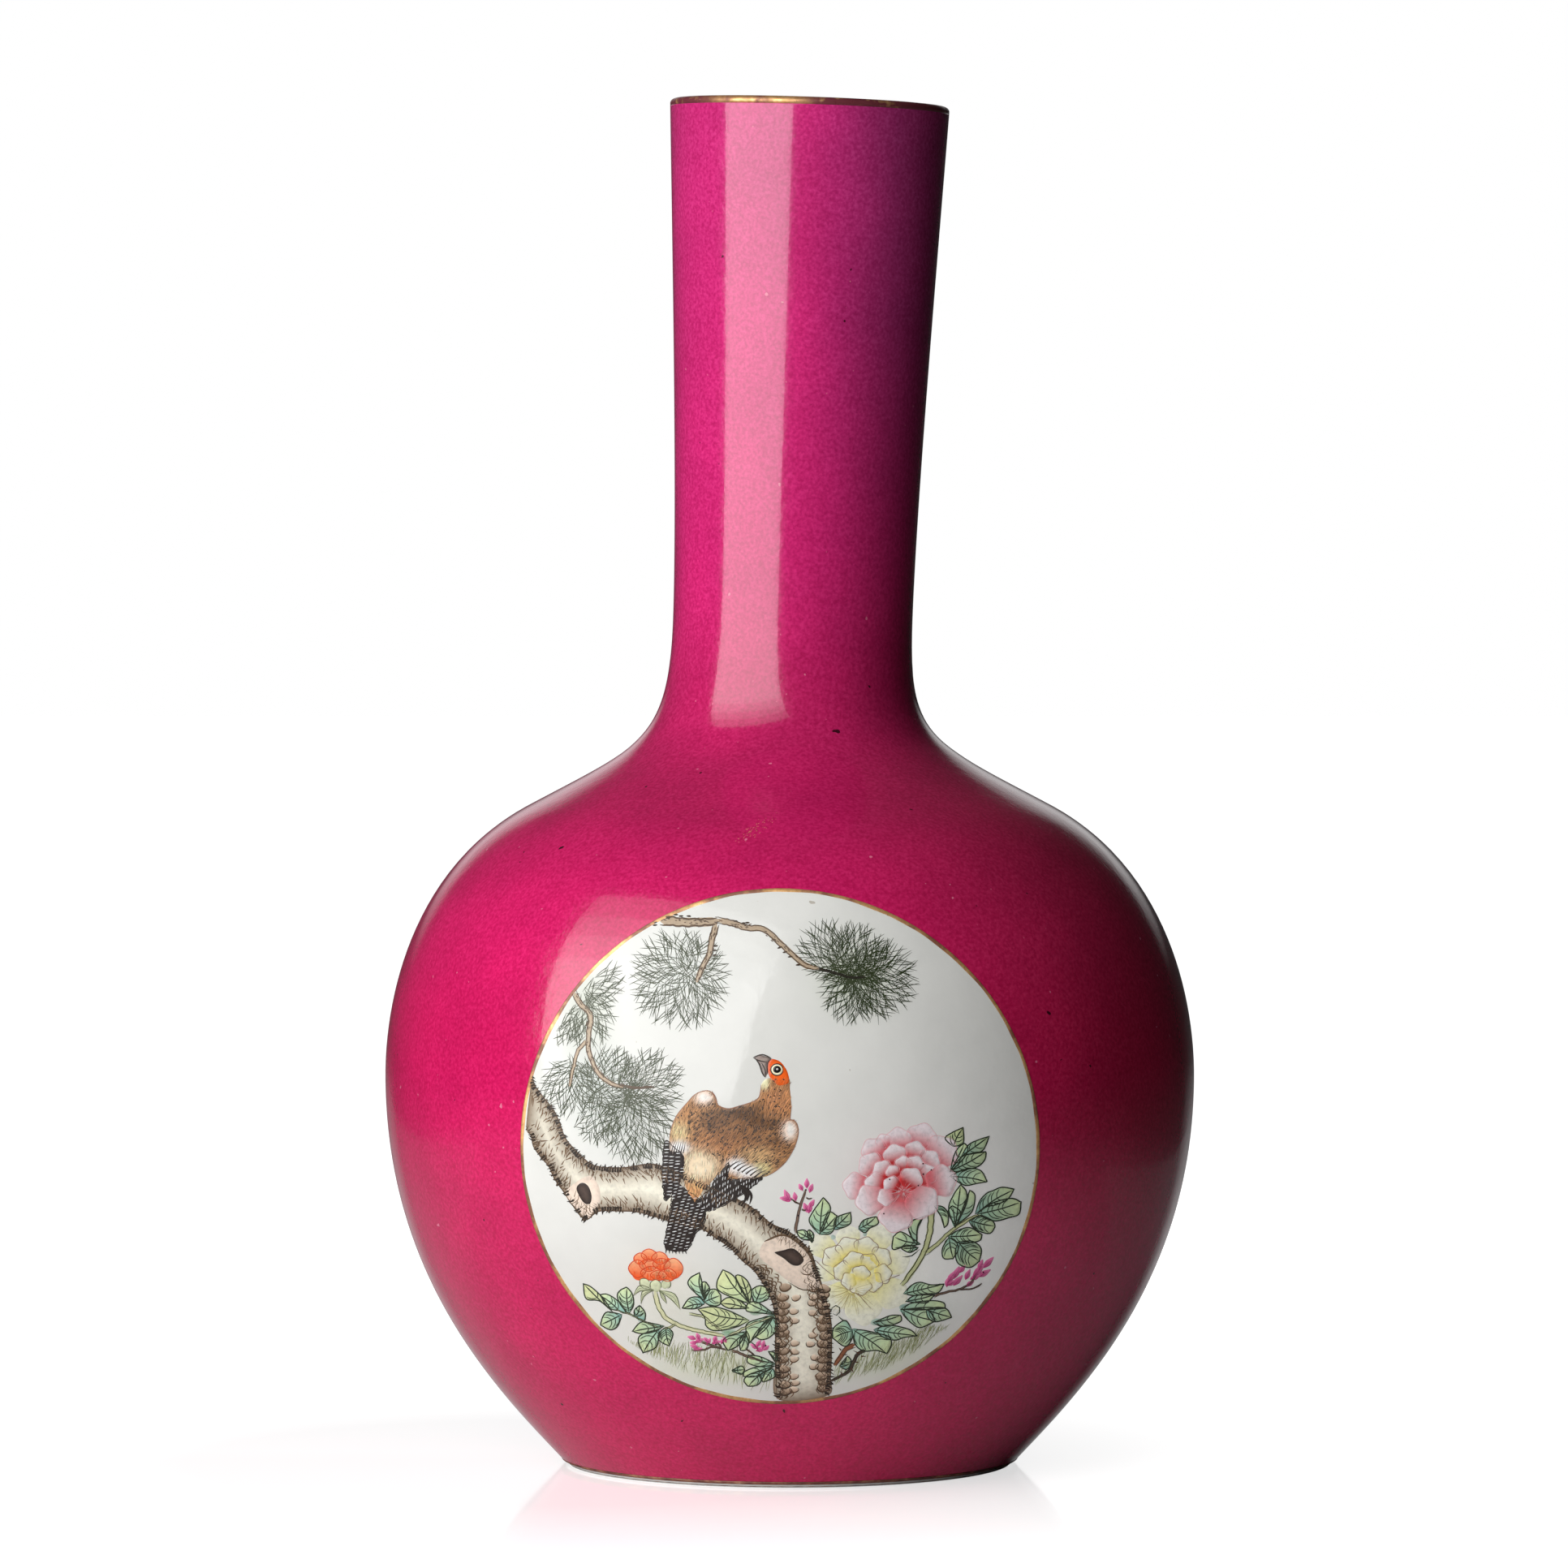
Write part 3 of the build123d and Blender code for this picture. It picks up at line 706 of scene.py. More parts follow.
def pine_needles():
    """Round tufts of long straight needles in two crossing families, ragged at the rim."""
    brush = Brush()
    for centre, reach, dark, root in TUFTS:
        centre = np.array(centre)
        count = int(reach * reach * (0.94 + 0.1 * dark))
        for i in range(count):
            far, turn = reach * 0.84 * sqrt((i + 0.5) / count), 2.4 * i + dice.gauss(0, 0.2)
            at = centre + far * heading(turn)
            lean = atan2(at[1] - root[1], at[0] - root[0]) + (0.42 if i % 2 else -0.42) + dice.gauss(0, 0.2)
            way = heading(lean)
            half = dice.uniform(2.8, 4.4) * min(reach / 14, 1)
            start, tip = at - way * half, at + way * half
            over = np.hypot(*(tip - centre)) / (reach * dice.uniform(0.94, 1.10))
            if over > 1:
                tip = centre + (tip - centre) / over
            if max(np.hypot(*start), np.hypot(*tip)) > NEEDLE_LIMIT:
                continue
            bend = left(way) * dice.gauss(0, 0.10)
            tone = min(max(dark + dice.gauss(0, 0.2), 0), 1)
            brush.stroke([start, (start + tip) / 2 + bend, tip], dice.uniform(0.20, 0.29),
                         mixed(NEEDLE, DARK_NEEDLE, tone), 0.05 + 0.02 * dice.random(), "even", 2.4, 0.02)
    brush.build("pine_needles")


def twig(brush, points, width, fill, edge):
    """A branch: a filled stroke between two uneven dark lines."""
    line = smooth(points, 1.2)
    side = left(unit(np.gradient(line, axis=0)))
    half = width / 2 * np.linspace(1, 0.6, len(line))[:, None]
    wobble = np.array([dice.gauss(0, 0.12) for _ in line])[:, None]
    brush.stroke(line, width, fill, 0.06, "even")
    for k in (-1, 1):
        brush.stroke(line + side * (half * k + wobble), max(0.32, width * 0.2), edge, 0.1, "even", 1.2)


BOUGH = [  # run, width
    ([(-46, 88), (-38, 87.5), (-30, 87.5), (-24, 88)], 3.4),
    ([(-25, 88.5), (-19, 87.5), (-12, 85.5), (-6, 85), (0, 80), (6, 74.5), (10, 71.5), (15, 70.3)], 2.2),
    ([(-24.5, 87), (-26, 81), (-27, 76), (-30, 70), (-32, 65)], 2.2),
    ([(-80, 61), (-77, 56), (-73, 51.5), (-73.5, 44), (-73.5, 38), (-70, 30), (-65, 26), (-60, 24.5)], 2.0),
    ([(-74.5, 42), (-78, 37), (-80, 29), (-81, 24)], 1.3)]
BOUGH_KNOTS = [
    (-40, 89.9), (-38, 89.6), (-35, 89.5), (-43, 89), (-48, 86), (-14, 87.6), (-12.5, 87.4), (-17, 88),
    (2, 76.5), (4, 75), (0, 78.3), (-25, 77), (-24.6, 79), (-25, 75), (7, 72), (-48, 87)]
BOUGH_GRAIN = [  # from, to
    ((-46, 88), (-24, 88)), ((-25, 88), (-12, 86)), ((-6, 84.5), (8, 73)), ((-24.6, 86), (-27, 76)),
    ((-27, 76), (-32, 66)), ((-79, 60), (-73.5, 52)), ((-73.5, 50), (-73.4, 38)), ((-73, 36), (-66, 26))]


def pine_bough():
    """Two thin boughs with knots and short strokes of grain."""
    brush = Brush()
    tan_bark, dark_bark = ink(172, 152, 128), ink(86, 67, 50)
    for run, width in BOUGH:
        twig(brush, run, width, tan_bark, dark_bark)
    twig(brush, [(-62, 25.5), (-55, 24.5), (-48, 25)], 0.9, dark_bark, dark_bark)
    twig(brush, [(14, 70.5), (20, 69), (27, 67), (33, 67)], 0.9, ink(50, 46, 40), ink(40, 36, 32))
    for u, v in BOUGH_KNOTS:
        knot = [(u - 1, v - dice.uniform(-0.3, 0.5)), (u + 0.9, v + dice.uniform(-0.2, 0.4))]
        brush.stroke(knot, 0.7, dark_bark * 0.5, 0.09)
    for start, end in BOUGH_GRAIN:
        run = np.subtract(end, start)
        length = np.hypot(*run)
        way = run / length
        for _ in range(int(length * 1.3)):
            at = start + run * dice.random() + left(way) * dice.gauss(0, 0.6)
            brush.stroke([at, at + way * dice.uniform(0.7, 1.5) + (0, dice.gauss(0, 0.25))], 0.35,
                         dark_bark, 0.12)
    brush.build("pine_bough")


TRUNK_UPPER = [
    (-95.5, 29), (-94.8, 24.4), (-91.9, 20.3), (-87.2, 14.5), (-84.7, 9.3), (-82.9, 4.4), (-79.6, 0.3),
    (-76, -3.1), (-70.9, -6.3), (-60, -6.5), (-52, -5), (-45, -5.5), (-30, -12), (-14, -19), (-7.8, -23.5),
    (-3.7, -27), (0.3, -29), (4.3, -31), (7.8, -34), (11.8, -38.5), (14, -45), (16.4, -52.7), (17.8, -58),
    (19, -63), (19.8, -70), (19.6, -88), (18.6, -97)]
TRUNK_LOWER = [
    (-1.2, -98.2), (-1.7, -80), (-1.7, -65), (-2.7, -59), (-4.8, -53.7), (-9.5, -46.2), (-14.3, -41.9),
    (-18.7, -37.1), (-25, -32.7), (-30.7, -29.3), (-43, -26.5), (-54, -23.7), (-62, -23.5), (-70, -24),
    (-75, -27.5), (-80, -22), (-83, -17.5), (-87, -12), (-89, -7.6), (-92.6, -3.5), (-95.2, 0),
    (-96.2, 4.1), (-98.2, 8)]


CROOK_COLLAR = [
    (-6, -34), (1, -31.5), (7, -35), (11.5, -40), (13.6, -46), (15.5, -52.5), (9, -53.2), (3, -50),
    (-3, -45), (-8, -40)]
CROOK_HOLLOW = [
    (-2.3, -38.5), (1.5, -37.3), (4.8, -36.6), (7.8, -38.6), (9.4, -41.6), (7.4, -43.9), (4.4, -43.6),
    (1.2, -41)]
COLLAR_LINES = [  # run, width, strength, taper
    ([(7.8, -46), (10, -47.5), (13.8, -46.3)], 0.5, 0.6, "both"),
    ([(3, -50.2), (9, -53.4), (16, -52.8)], 0.45, 0.7, "both"),
    ([(-6, -34.2), (1, -31.6), (7, -34.6), (11.6, -40), (13.6, -46)], 0.8, 0.7, "even")]
KNOT_COLLAR = [
    (-83, -18), (-79, -13), (-73, -10), (-69.5, -14), (-69, -20), (-71.5, -24), (-74.2, -27.6), (-78, -24)]
KNOT_HOLLOW = [(-78.6, -15.5), (-76.4, -12.8), (-73.6, -14), (-72.2, -18), (-73.0, -21.4), (-76.0, -20.8)]
SCALE_COLUMNS = [(1.3, 2.0), (5.4, 1.6), (16.8, 2.1), (12.7, 1.6)]  # place across, size
BIG_SCALE, SCALE_LIMIT, SCALY_BELOW = 1.8, 95, -44
BIG_SCALE_TONES = ink(206, 182, 158), ink(112, 88, 66)  # lit, shaded
SMALL_SCALE_TONES = ink(232, 213, 192), ink(172, 144, 118)


def pine_trunk():
    """A pale trunk: bristling bark at its edges, rows of scales down its foot and two hollow knots."""
    brush = Brush()
    pale, brown, deep = ink(244, 231, 214), ink(114, 90, 68), ink(50, 40, 32)
    brush.wash(TRUNK_UPPER + TRUNK_LOWER, edged(brown, pale, 9.0), 0.04, 1.2)
    upper, lower = smooth(TRUNK_UPPER, 1.0), smooth(TRUNK_LOWER, 1.0)
    for line in (upper, lower):
        way = unit(np.gradient(line, axis=0))
        side = -left(way)
        brush.stroke(line, 0.5, brown * 0.6, 0.07, "even", 1.2)
        for i in range(1, len(line) - 1):
            if dice.random() < 0.62:
                root = line[i] + side[i] * dice.uniform(0, 0.5)
                out = -side[i] * dice.uniform(0.5, 1.9) + way[i] * dice.uniform(-0.2, 1.2)
                tooth = [root + side[i] * 1.3, root, root + out]
                brush.stroke(tooth, dice.uniform(0.7, 1.3), deep * 0.8, 0.09, "out", 0.6)
            for depth in (0.9, 2.0, 3.3, 4.8):
                if dice.random() < 0.85 - depth * 0.10:
                    at = line[i] + side[i] * (depth + dice.gauss(0, 0.4))
                    size = dice.uniform(0.9, 1.8)
                    tone = mixed(deep, brown, min(depth / 5.5 + dice.random() * 0.45, 1))
                    bristle = side[i] * size * 0.8 + way[i] * dice.uniform(-0.3, 0.9) * size
                    hook = [at - way[i] * size, at + side[i] * size * 0.9, at + way[i] * size]
                    scaly = at[1] < SCALY_BELOW
                    brush.stroke(hook if scaly else [at - bristle, at + bristle], dice.uniform(0.35, 0.7),
                                 tone, 0.07, "both" if scaly else "out", 0.7)
    for k in range(14):
        for u, size in SCALE_COLUMNS:
            big = size > BIG_SCALE
            at = np.array([u + dice.gauss(0, 0.4), -52.5 - 3.2 * k + dice.gauss(0, 0.5)])
            if (not big and dice.random() < 0.35) or np.hypot(*at) > SCALE_LIMIT:
                continue
            scale = around(at, size * 1.12, size * 0.85, dice.gauss(0, 8), 12, 0.06, 3)
            light, shadow = BIG_SCALE_TONES if big else SMALL_SCALE_TONES
            shade = along(at + (0, size * 0.7), light, at - (0, size * 0.9), shadow)
            brush.wash(scale, shade, 0.065, 0.9, 0.6, 0.3)
            rim = np.vstack([scale[5:], scale[:2]])
            brush.stroke(rim, 0.7 if big else 0.45, mixed(deep, brown, dice.uniform(0.1, 0.7)), 0.09,
                         "both", 0.7)
    collar = ink(232, 213, 196)
    hollow = edged(ink(30, 24, 22), ink(84, 68, 60), 3.0)
    brush.wash(CROOK_COLLAR, edged(collar * 0.8, collar, 2.5), 0.07)
    for run, width, strength, taper in COLLAR_LINES:
        brush.stroke(run, width, brown * strength, 0.10, taper)
    brush.wash(CROOK_HOLLOW, hollow, 0.10, 0.9, 0.6)
    brush.wash(KNOT_COLLAR, edged(collar * 0.75, collar, 2.0), 0.07, 1.2)
    brush.wash(KNOT_HOLLOW, hollow, 0.10, 0.9, 0.6)
    brush.build("pine_trunk")


# ---- Bird ----
BIRD = [
    (-4.5, 29), (-7.2, 26.5), (-7.8, 22.1), (-9.5, 20.4), (-12.4, 19.2), (-16.4, 18), (-19.8, 17.2),
    (-23.6, 18.4), (-25.2, 21.9), (-27.3, 24), (-31.9, 22.8), (-35.4, 19.3), (-39.7, 13.9), (-41.8, 8.2),
    (-42.3, 4.7), (-42, 0.3), (-37.2, -0.5), (-37.2, -8), (-36, -14), (-32.5, -18.5), (-29, -14.3),
    (-25, -10), (-19.5, -4.5), (-19.6, -9.5), (-12.5, -10), (-5.5, -8.9), (-2, -6.9), (1.4, -4),
    (3.7, -0.9), (5.8, 3.2), (7, 7.8), (6.6, 11.3), (5.2, 12.9), (3.9, 13.2), (4.4, 18), (3.9, 25),
    (3.2, 29)]
PLUMAGE = [  # centre, reach across, reach up, colour, strength
    ((0, 20), 8, 7, (190, 130, 84), 0.9), ((-36, 15), 6, 5, (184, 134, 88), 0.8),
    ((-38.5, 8), 4, 4, (224, 196, 150), 0.9), ((-30.5, -5), 7.5, 7, (240, 216, 184), 1.0),
    ((-2, 2), 7, 5, (156, 108, 66), 0.7), ((-22, 4), 11, 5, (168, 112, 70), 0.7),
    ((-9, -1), 7, 4, (206, 170, 122), 0.7), ((-7, -6), 4, 3, (206, 192, 140), 0.9),
    ((-32, -14), 3.5, 3.5, (238, 168, 114), 0.9), ((-15, 15.2), 11, 4.2, (100, 68, 42), 0.95),
    ((-25.5, 12), 5.5, 3.6, (110, 76, 48), 0.9), ((-6, 11.8), 9, 2.2, (98, 66, 40), 0.95),
    ((-15, 8), 13, 5.0, (132, 90, 56), 0.75), ((-0.5, 5), 3.5, 2.2, (122, 82, 48), 0.6),
    ((-29, 21.3), 3.6, 2.8, (238, 220, 206), 1.0), ((3.6, 8.8), 3.0, 3.8, (238, 218, 206), 1.0),
    ((-38.5, 2), 4, 2.6, (244, 240, 234), 1.0), ((-16.6, -4.8), 3.8, 3.0, (250, 248, 244), 1.0),
    ((-12.2, -7.0), 4.0, 2.6, (250, 248, 244), 1.0), ((-6, 27.5), 2.0, 2.8, (226, 222, 180), 1.0)]


def plumage(places):
    """The bird's ground colour at each place."""
    tint = np.tile(ink(174, 126, 82), (len(places), 1))
    for (u, v), reach_u, reach_v, colour, strength in PLUMAGE:
        far = ((places[:, 0] - u) / reach_u) ** 2 + ((places[:, 1] - v) / reach_v) ** 2
        share = (np.exp(-far ** 1.5) * strength)[:, None]
        tint = tint * (1 - share) + ink(*colour) * share
    return tint


def lie(u, v):
    """The way a feather lies, in degrees: swept round from the neck to the wings."""
    if v > 12 and u > -11:
        return 68 - 1.5 * (u + 2)
    if u < -34:
        return 78
    if v < 1 and u < -20:
        return 88 - 1.2 * (u + 30)
    return 48 + 1.4 * min(v, 10) - 1.2 * (u + 12) if u > -12 else 50 + 0.6 * v


def bars(brush, outline, way, slant, row, gap, length):
    """Pale bars in rows along a dark feather."""
    shape = smooth(outline, 0.8, closed=True)
    centre = shape.mean(0)
    along_row = heading(radians(way))
    across = left(along_row)
    bar = heading(radians(slant)) * length / 2
    spots = []
    for i in range(-30, 31):
        for j in range(-40, 41):
            jitter = dice.gauss(0, 0.10) * along_row + dice.gauss(0, 0.14) * across
            spots.append(centre + along_row * gap * j + across * row * i + jitter)
    spots = np.array(spots)
    spots = spots[inside(spots, shape)]
    for at in spots[distance(spots, shape) > length * 0.22]:
        if dice.random() < 0.1:
            continue
        tone = PALE_BAR * dice.uniform(0.62, 1.05)
        long = bar * dice.uniform(0.9, 1.35)
        brush.stroke([at - long, at + long], 0.3 * dice.uniform(0.8, 1.2), tone, 0.10, step=1.1, crown=0.02)


FLIGHTS = [  # outline, row direction, bar direction, row spacing, bar spacing, bar length
    ([(-6.6, -9.1), (-11.2, -13.3), (-17, -17.4), (-22.7, -20.8), (-29, -22.6), (-31.5, -19),
      (-26.6, -13.8), (-24.4, -8.9), (-21.5, -5.9), (-19.2, -3.3), (-19.6, -9.7), (-13, -9.6)], 32, 80,
     1.9, 1.2, 1.25),
    ([(-43.9, 4.6), (-44.8, -2.1), (-45.1, -9.6), (-44.5, -15.4), (-43.8, -19.3), (-40.5, -14.8),
      (-37.2, -8.5), (-37, -1.2), (-40, 1.4)], 86, 4, 2.3, 1.35, 1.7),
    ([(-40, -12.5), (-42, -23), (-44.2, -35), (-43.6, -38), (-40.8, -38.6), (-36.5, -38.4), (-34.4, -36),
      (-32, -30.6), (-30, -29.4), (-28.4, -23.5), (-31, -18), (-35, -15)], 74, 10, 2.0, 1.35, 1.35)]


PALE_BAR = ink(252, 248, 240)
WING_RIMS = [  # run, lift, taper, step
    ([(-26.0, 23.6), (-24.6, 21.6), (-23.6, 18.6), (-20.4, 17.2)], 0.13, "out", 0.9),
    ([(5.6, 13.0), (3.0, 12.8), (0.2, 10.6), (-0.6, 8.6)], 0.13, "out", 0.9),
    (BIRD[1:15], 0.10, "even", 1.2), (BIRD[25:35], 0.10, "even", 1.2)]
FACE = [
    (-3.2, 36.3), (-0.3, 35.6), (1.7, 33.6), (3.2, 30.7), (3.4, 27.0), (-0.6, 26.0), (-3.4, 28.6),
    (-4.6, 31.2), (-4.5, 34.7)]
BEAK = [
    (-9.8, 36.8), (-7.2, 37.7), (-3.4, 36.3), (-4.9, 34.6), (-4.7, 31.3), (-5.6, 29.2), (-6.6, 30.8),
    (-7.6, 34.0)]
EYE = [  # centre, reach across, reach up, corners, colour, lift, grid, step, edge
    ((-1.1, 32.2), 2.3, 2.15, 14, (234, 226, 192), 0.14, 0.8, 0.5, 0.2),
    ((-1.1, 32.3), 1.65, 1.5, 14, (22, 18, 18), 0.18, 0.7, 0.4, 0.15),
    ((-1.0, 32.4), 0.55, 0.5, 8, (206, 200, 196), 0.22, 0.5, 0.3, 0.1)]
BEAK_LINES = [
    [(-10.3, 36.7), (-7.2, 37.9), (-5, 37.4), (-3.2, 36.3)], [(-10.1, 36.6), (-8, 35.6), (-5, 35.0)],
    [(-9.4, 36.4), (-7.9, 34.2), (-6.8, 31), (-5.6, 29.2)], [(-3.4, 36.2), (-4.8, 34.6), (-4.8, 30.4)],
    [(-7.0, 34.8), (-5.8, 32.4), (-5.4, 30)]]
CLAWS = [
    [(-15.5, -12.6), (-12.4, -14.2), (-10.9, -16.4), (-11.6, -19.6)],
    [(-14.2, -14), (-12.9, -16.6), (-14.2, -19.8)], [(-16.4, -14.4), (-17, -16.4), (-18.4, -18.6)],
    [(-13.4, -13.4), (-12, -15.4), (-12.6, -18.4)]]


def bird():
    """A brown bird with an orange face, barred flight feathers and a barred tail."""
    brush = Brush()
    black = ink(42, 34, 31)
    for outline, *rows in FLIGHTS:
        brush.wash(outline, flat(black), 0.06, edge=0.25)
        bars(brush, outline, *rows)
        shape = smooth(outline, 0.9, closed=True)
        for at, past in zip(shape, np.roll(shape, -2, 0)):
            out = (past - at)[::-1] * (1, -1) * 0.2
            brush.stroke([at, (at + past) / 2 + out * dice.uniform(-1, 1), past], 0.42, black * 0.8, 0.08,
                         step=0.8)
    brush.wash(BIRD, lambda places, depth: plumage(places), 0.07, 0.9, 0.8, 0.3)
    border = smooth(BIRD, 0.9, closed=True)
    low, high = border.min(0), border.max(0)
    spots = np.array([(dice.uniform(low[0], high[0]), dice.uniform(low[1], high[1])) for _ in range(8600)])
    spots = spots[inside(spots, border)]
    spots = spots[distance(spots, border) > 0.5]
    tones = plumage(spots)
    for at, tone in zip(spots, tones):
        brightness = tone.mean()
        angle = radians(lie(*at) + dice.gauss(0, 5))
        reach = dice.uniform(0.7, 1.5)
        leap = heading(angle) * reach
        bend = left(leap) * dice.uniform(-0.15, 0.15)
        if brightness > 0.62 and dice.random() < 0.93:
            continue
        shade = tone * (dice.uniform(0.28, 0.6) if dice.random() < 0.6 else dice.uniform(1.15, 1.6))
        brush.stroke([at - leap, at + bend, at + leap], dice.uniform(0.15, 0.25), np.minimum(shade, 0.85),
                     0.09, step=1.1, crown=0.02)
        if dice.random() < 0.05 and brightness < 0.42:
            dot = np.array([dice.uniform(0.2, 0.5), dice.uniform(-0.3, 0.3)])
            brush.stroke([at - dot, at + dot], dice.uniform(0.4, 0.6), black, 0.12, step=0.5)
    for k in range(8):
        u, v = -19.4 + k * 1.6, -5.4 - k * 0.62
        brush.stroke([(u, v), (u + 2.2, v + 1.7), (u + 4.8, v + 2.8)], 0.6, ink(60, 50, 44), 0.15, "out", 0.8)
    for k in range(6):
        brush.stroke([(-41.6 + k * 0.9, -0.2), (-41 + k * 0.9, 2), (-40.2 + k * 0.8, 4.2)], 0.45,
                     black * 1.3, 0.12, "out", 0.9)
    for _ in range(420):
        at = np.array([dice.uniform(-36, 4), dice.uniform(-6, 19)])
        if not inside(at[None], border)[0] or plumage(at[None])[0].mean() > 0.42:
            continue
        angle = radians(lie(*at) + dice.gauss(0, 14))
        leap = heading(angle) * dice.uniform(0.5, 1.0)
        brush.stroke([at - leap, at, at + leap], dice.uniform(0.26, 0.42), black, 0.11, step=0.9, crown=0.02)
    for centre, across, up in (((-28.9, 21.3), 3.3, 2.3), ((4.1, 9.3), 2.5, 3.5)):
        brush.wash(around(centre, across, up, 0, 14, 0.05, 3),
                   edged(ink(222, 186, 164), ink(244, 230, 222), 1.6), 0.10, 0.9, 0.6, 0.3)
    for k in range(7):
        root = np.array([-43.6 + 1.25 * k, -37.2 - 0.3 * dice.random()])
        brush.stroke([root, root + (-0.1, -1.3), root + (-0.3 + 0.1 * k, -2.4)], 0.8, black, 0.1, "out", 0.8)
    for run, lift, taper, step in WING_RIMS:
        brush.stroke(run, 0.34, ink(150, 108, 86), lift, taper, step)
    orange = ink(222, 84, 24)
    brush.wash(FACE, edged(orange * 0.8, ink(236, 98, 32), 1.5), 0.10, 0.9, 0.6)
    for centre, across, up, corners, colour, *settings in EYE:
        brush.wash(around(centre, across, up, count=corners), flat(ink(*colour)), *settings)
    brush.stroke(np.vstack([around((-1.1, 32.2), 2.35, 2.2), [(1.25, 32.2)]]), 0.42, black, 0.16, "even", 0.5)
    brush.wash(BEAK, edged(ink(92, 80, 74), ink(158, 142, 134), 1.0), 0.10, 0.9, 0.6, 0.25)
    for line in BEAK_LINES:
        brush.stroke(line, 0.45, ink(56, 46, 42), 0.15, "even", 0.9)
    for claw in CLAWS:
        brush.stroke(claw, 1.7, black * 0.9, 0.13, "out", 0.8)
    brush.build("bird")


# ---- Flowers ----
def petal(brush, centre, reach, heart, pale, deep, lift, outline=None, squash=0.9, width=0.22, hold=0.0,
          wave=0.045):
    """A rounded petal, deep in colour at its foot by the flower's heart and pale at its outer rim."""
    centre = np.array(centre, float)
    way = unit(centre - heart)
    shape = around(centre, reach, reach * squash, degrees(atan2(way[1], way[0])), 20, wave, 5)
    soft = along(centre - way * reach * (1 - hold), deep, centre + way * reach * 0.5, pale)
    brush.wash(shape, soft, lift, 1.1, 0.8, 0.3)
    if outline is not None:
        line = np.roll(shape, 6, 0)[:13]
        brush.stroke(line + np.array([dice.gauss(0, 0.08), dice.gauss(0, 0.08)]), width, outline, lift + 0.04,
                     "even", 0.8)


PINK_PETALS = [  # place and reach, from the back to the front
    (54.1, 5.5, 5.5), (45.4, 4.7, 4.8), (39.6, 4.4, 2.8), (35.8, 1.2, 4.4), (61.8, -0.4, 6.3),
    (34.8, -4.6, 4.7), (29.2, -12.7, 4.9), (57.0, -3.6, 4.4), (51.7, 0.5, 3.8), (44.1, -1.1, 4.3),
    (39.3, -6.7, 3.8), (36.6, -12.0, 4.2), (56.0, -8.6, 4.0), (47.2, -4.4, 3.1), (51.6, -4.9, 3.6),
    (43.2, -7.4, 2.7), (61.6, -11.4, 5.9), (34.8, -18.0, 5.6), (44.6, -24.6, 6.2), (54.4, -19.4, 6.3),
    (42.8, -12.5, 3.3), (50.3, -10.2, 4.3), (40.6, -17.2, 3.4)]


def pink_peony():
    """Petals whose dark feet all point to the flower's heart, each over the foot of the one behind it."""
    brush = Brush()
    pale, dark, rose = ink(248, 222, 226), ink(194, 46, 50), ink(232, 142, 152)
    heart = np.array([47, -15])
    brush.wash(around((46.5, -9), 14, 12.5, 0, 24, 0.04, 7), flat(ink(214, 96, 102)), 0.02)
    for number, (u, v, reach) in enumerate(PINK_PETALS):
        far = np.hypot(u - 46, v + 9.5)
        in_front = v < -17
        soft = 0.5 if in_front else min(max((far - 9) / 12, 0), 0.5)
        petal(brush, (u, v), reach * 1.02, heart, pale, mixed(dark, rose, soft), 0.03 + 0.005 * number,
              mixed(pale, rose, 0.6), 1.04, 0.18, 0.12 if in_front else 0.5, 0.07)
    for _ in range(50):
        angle, far = dice.uniform(0, 2 * pi), dice.uniform(0.3, 2.4)
        spot = heart + far * heading(angle)
        thread = [spot, spot + (spot - heart) * dice.uniform(1.0, 2.0)]
        brush.stroke(thread, 0.2, mixed(dark, pale, dice.random()), 0.17, "out", 1.2, 0.01)
    for u, v in ((42, -10.3), (53, -13), (54.8, -4.5), (54.9, -8.6), (39.8, -23.6), (58, -7)):
        brush.dot((u, v), ink(70, 26, 34), 0.19)
    brush.build("pink_peony")


YELLOW_OUTER = [
    (16.2, -36, 5.5), (26.3, -33, 5.3), (38, -33.5, 5.8), (44.2, -43, 5.8), (42.5, -55, 7.2),
    (32, -60, 8.0), (22, -56, 6.0), (17.8, -46, 4.8), (30, -47, 11)]
YELLOW_INNER = [
    (20.6, -40.2, 4.0), (26.0, -36.6, 3.9), (33.0, -36.8, 4.0), (38.6, -41.0, 3.8), (39.4, -47.6, 3.4),
    (24.0, -46.0, 3.4), (28.4, -41.6, 3.3), (34.2, -42.6, 3.2), (26.6, -50.0, 3.0), (36.0, -50.6, 3.4),
    (31.2, -47.0, 3.0), (31.0, -52.0, 3.6)]


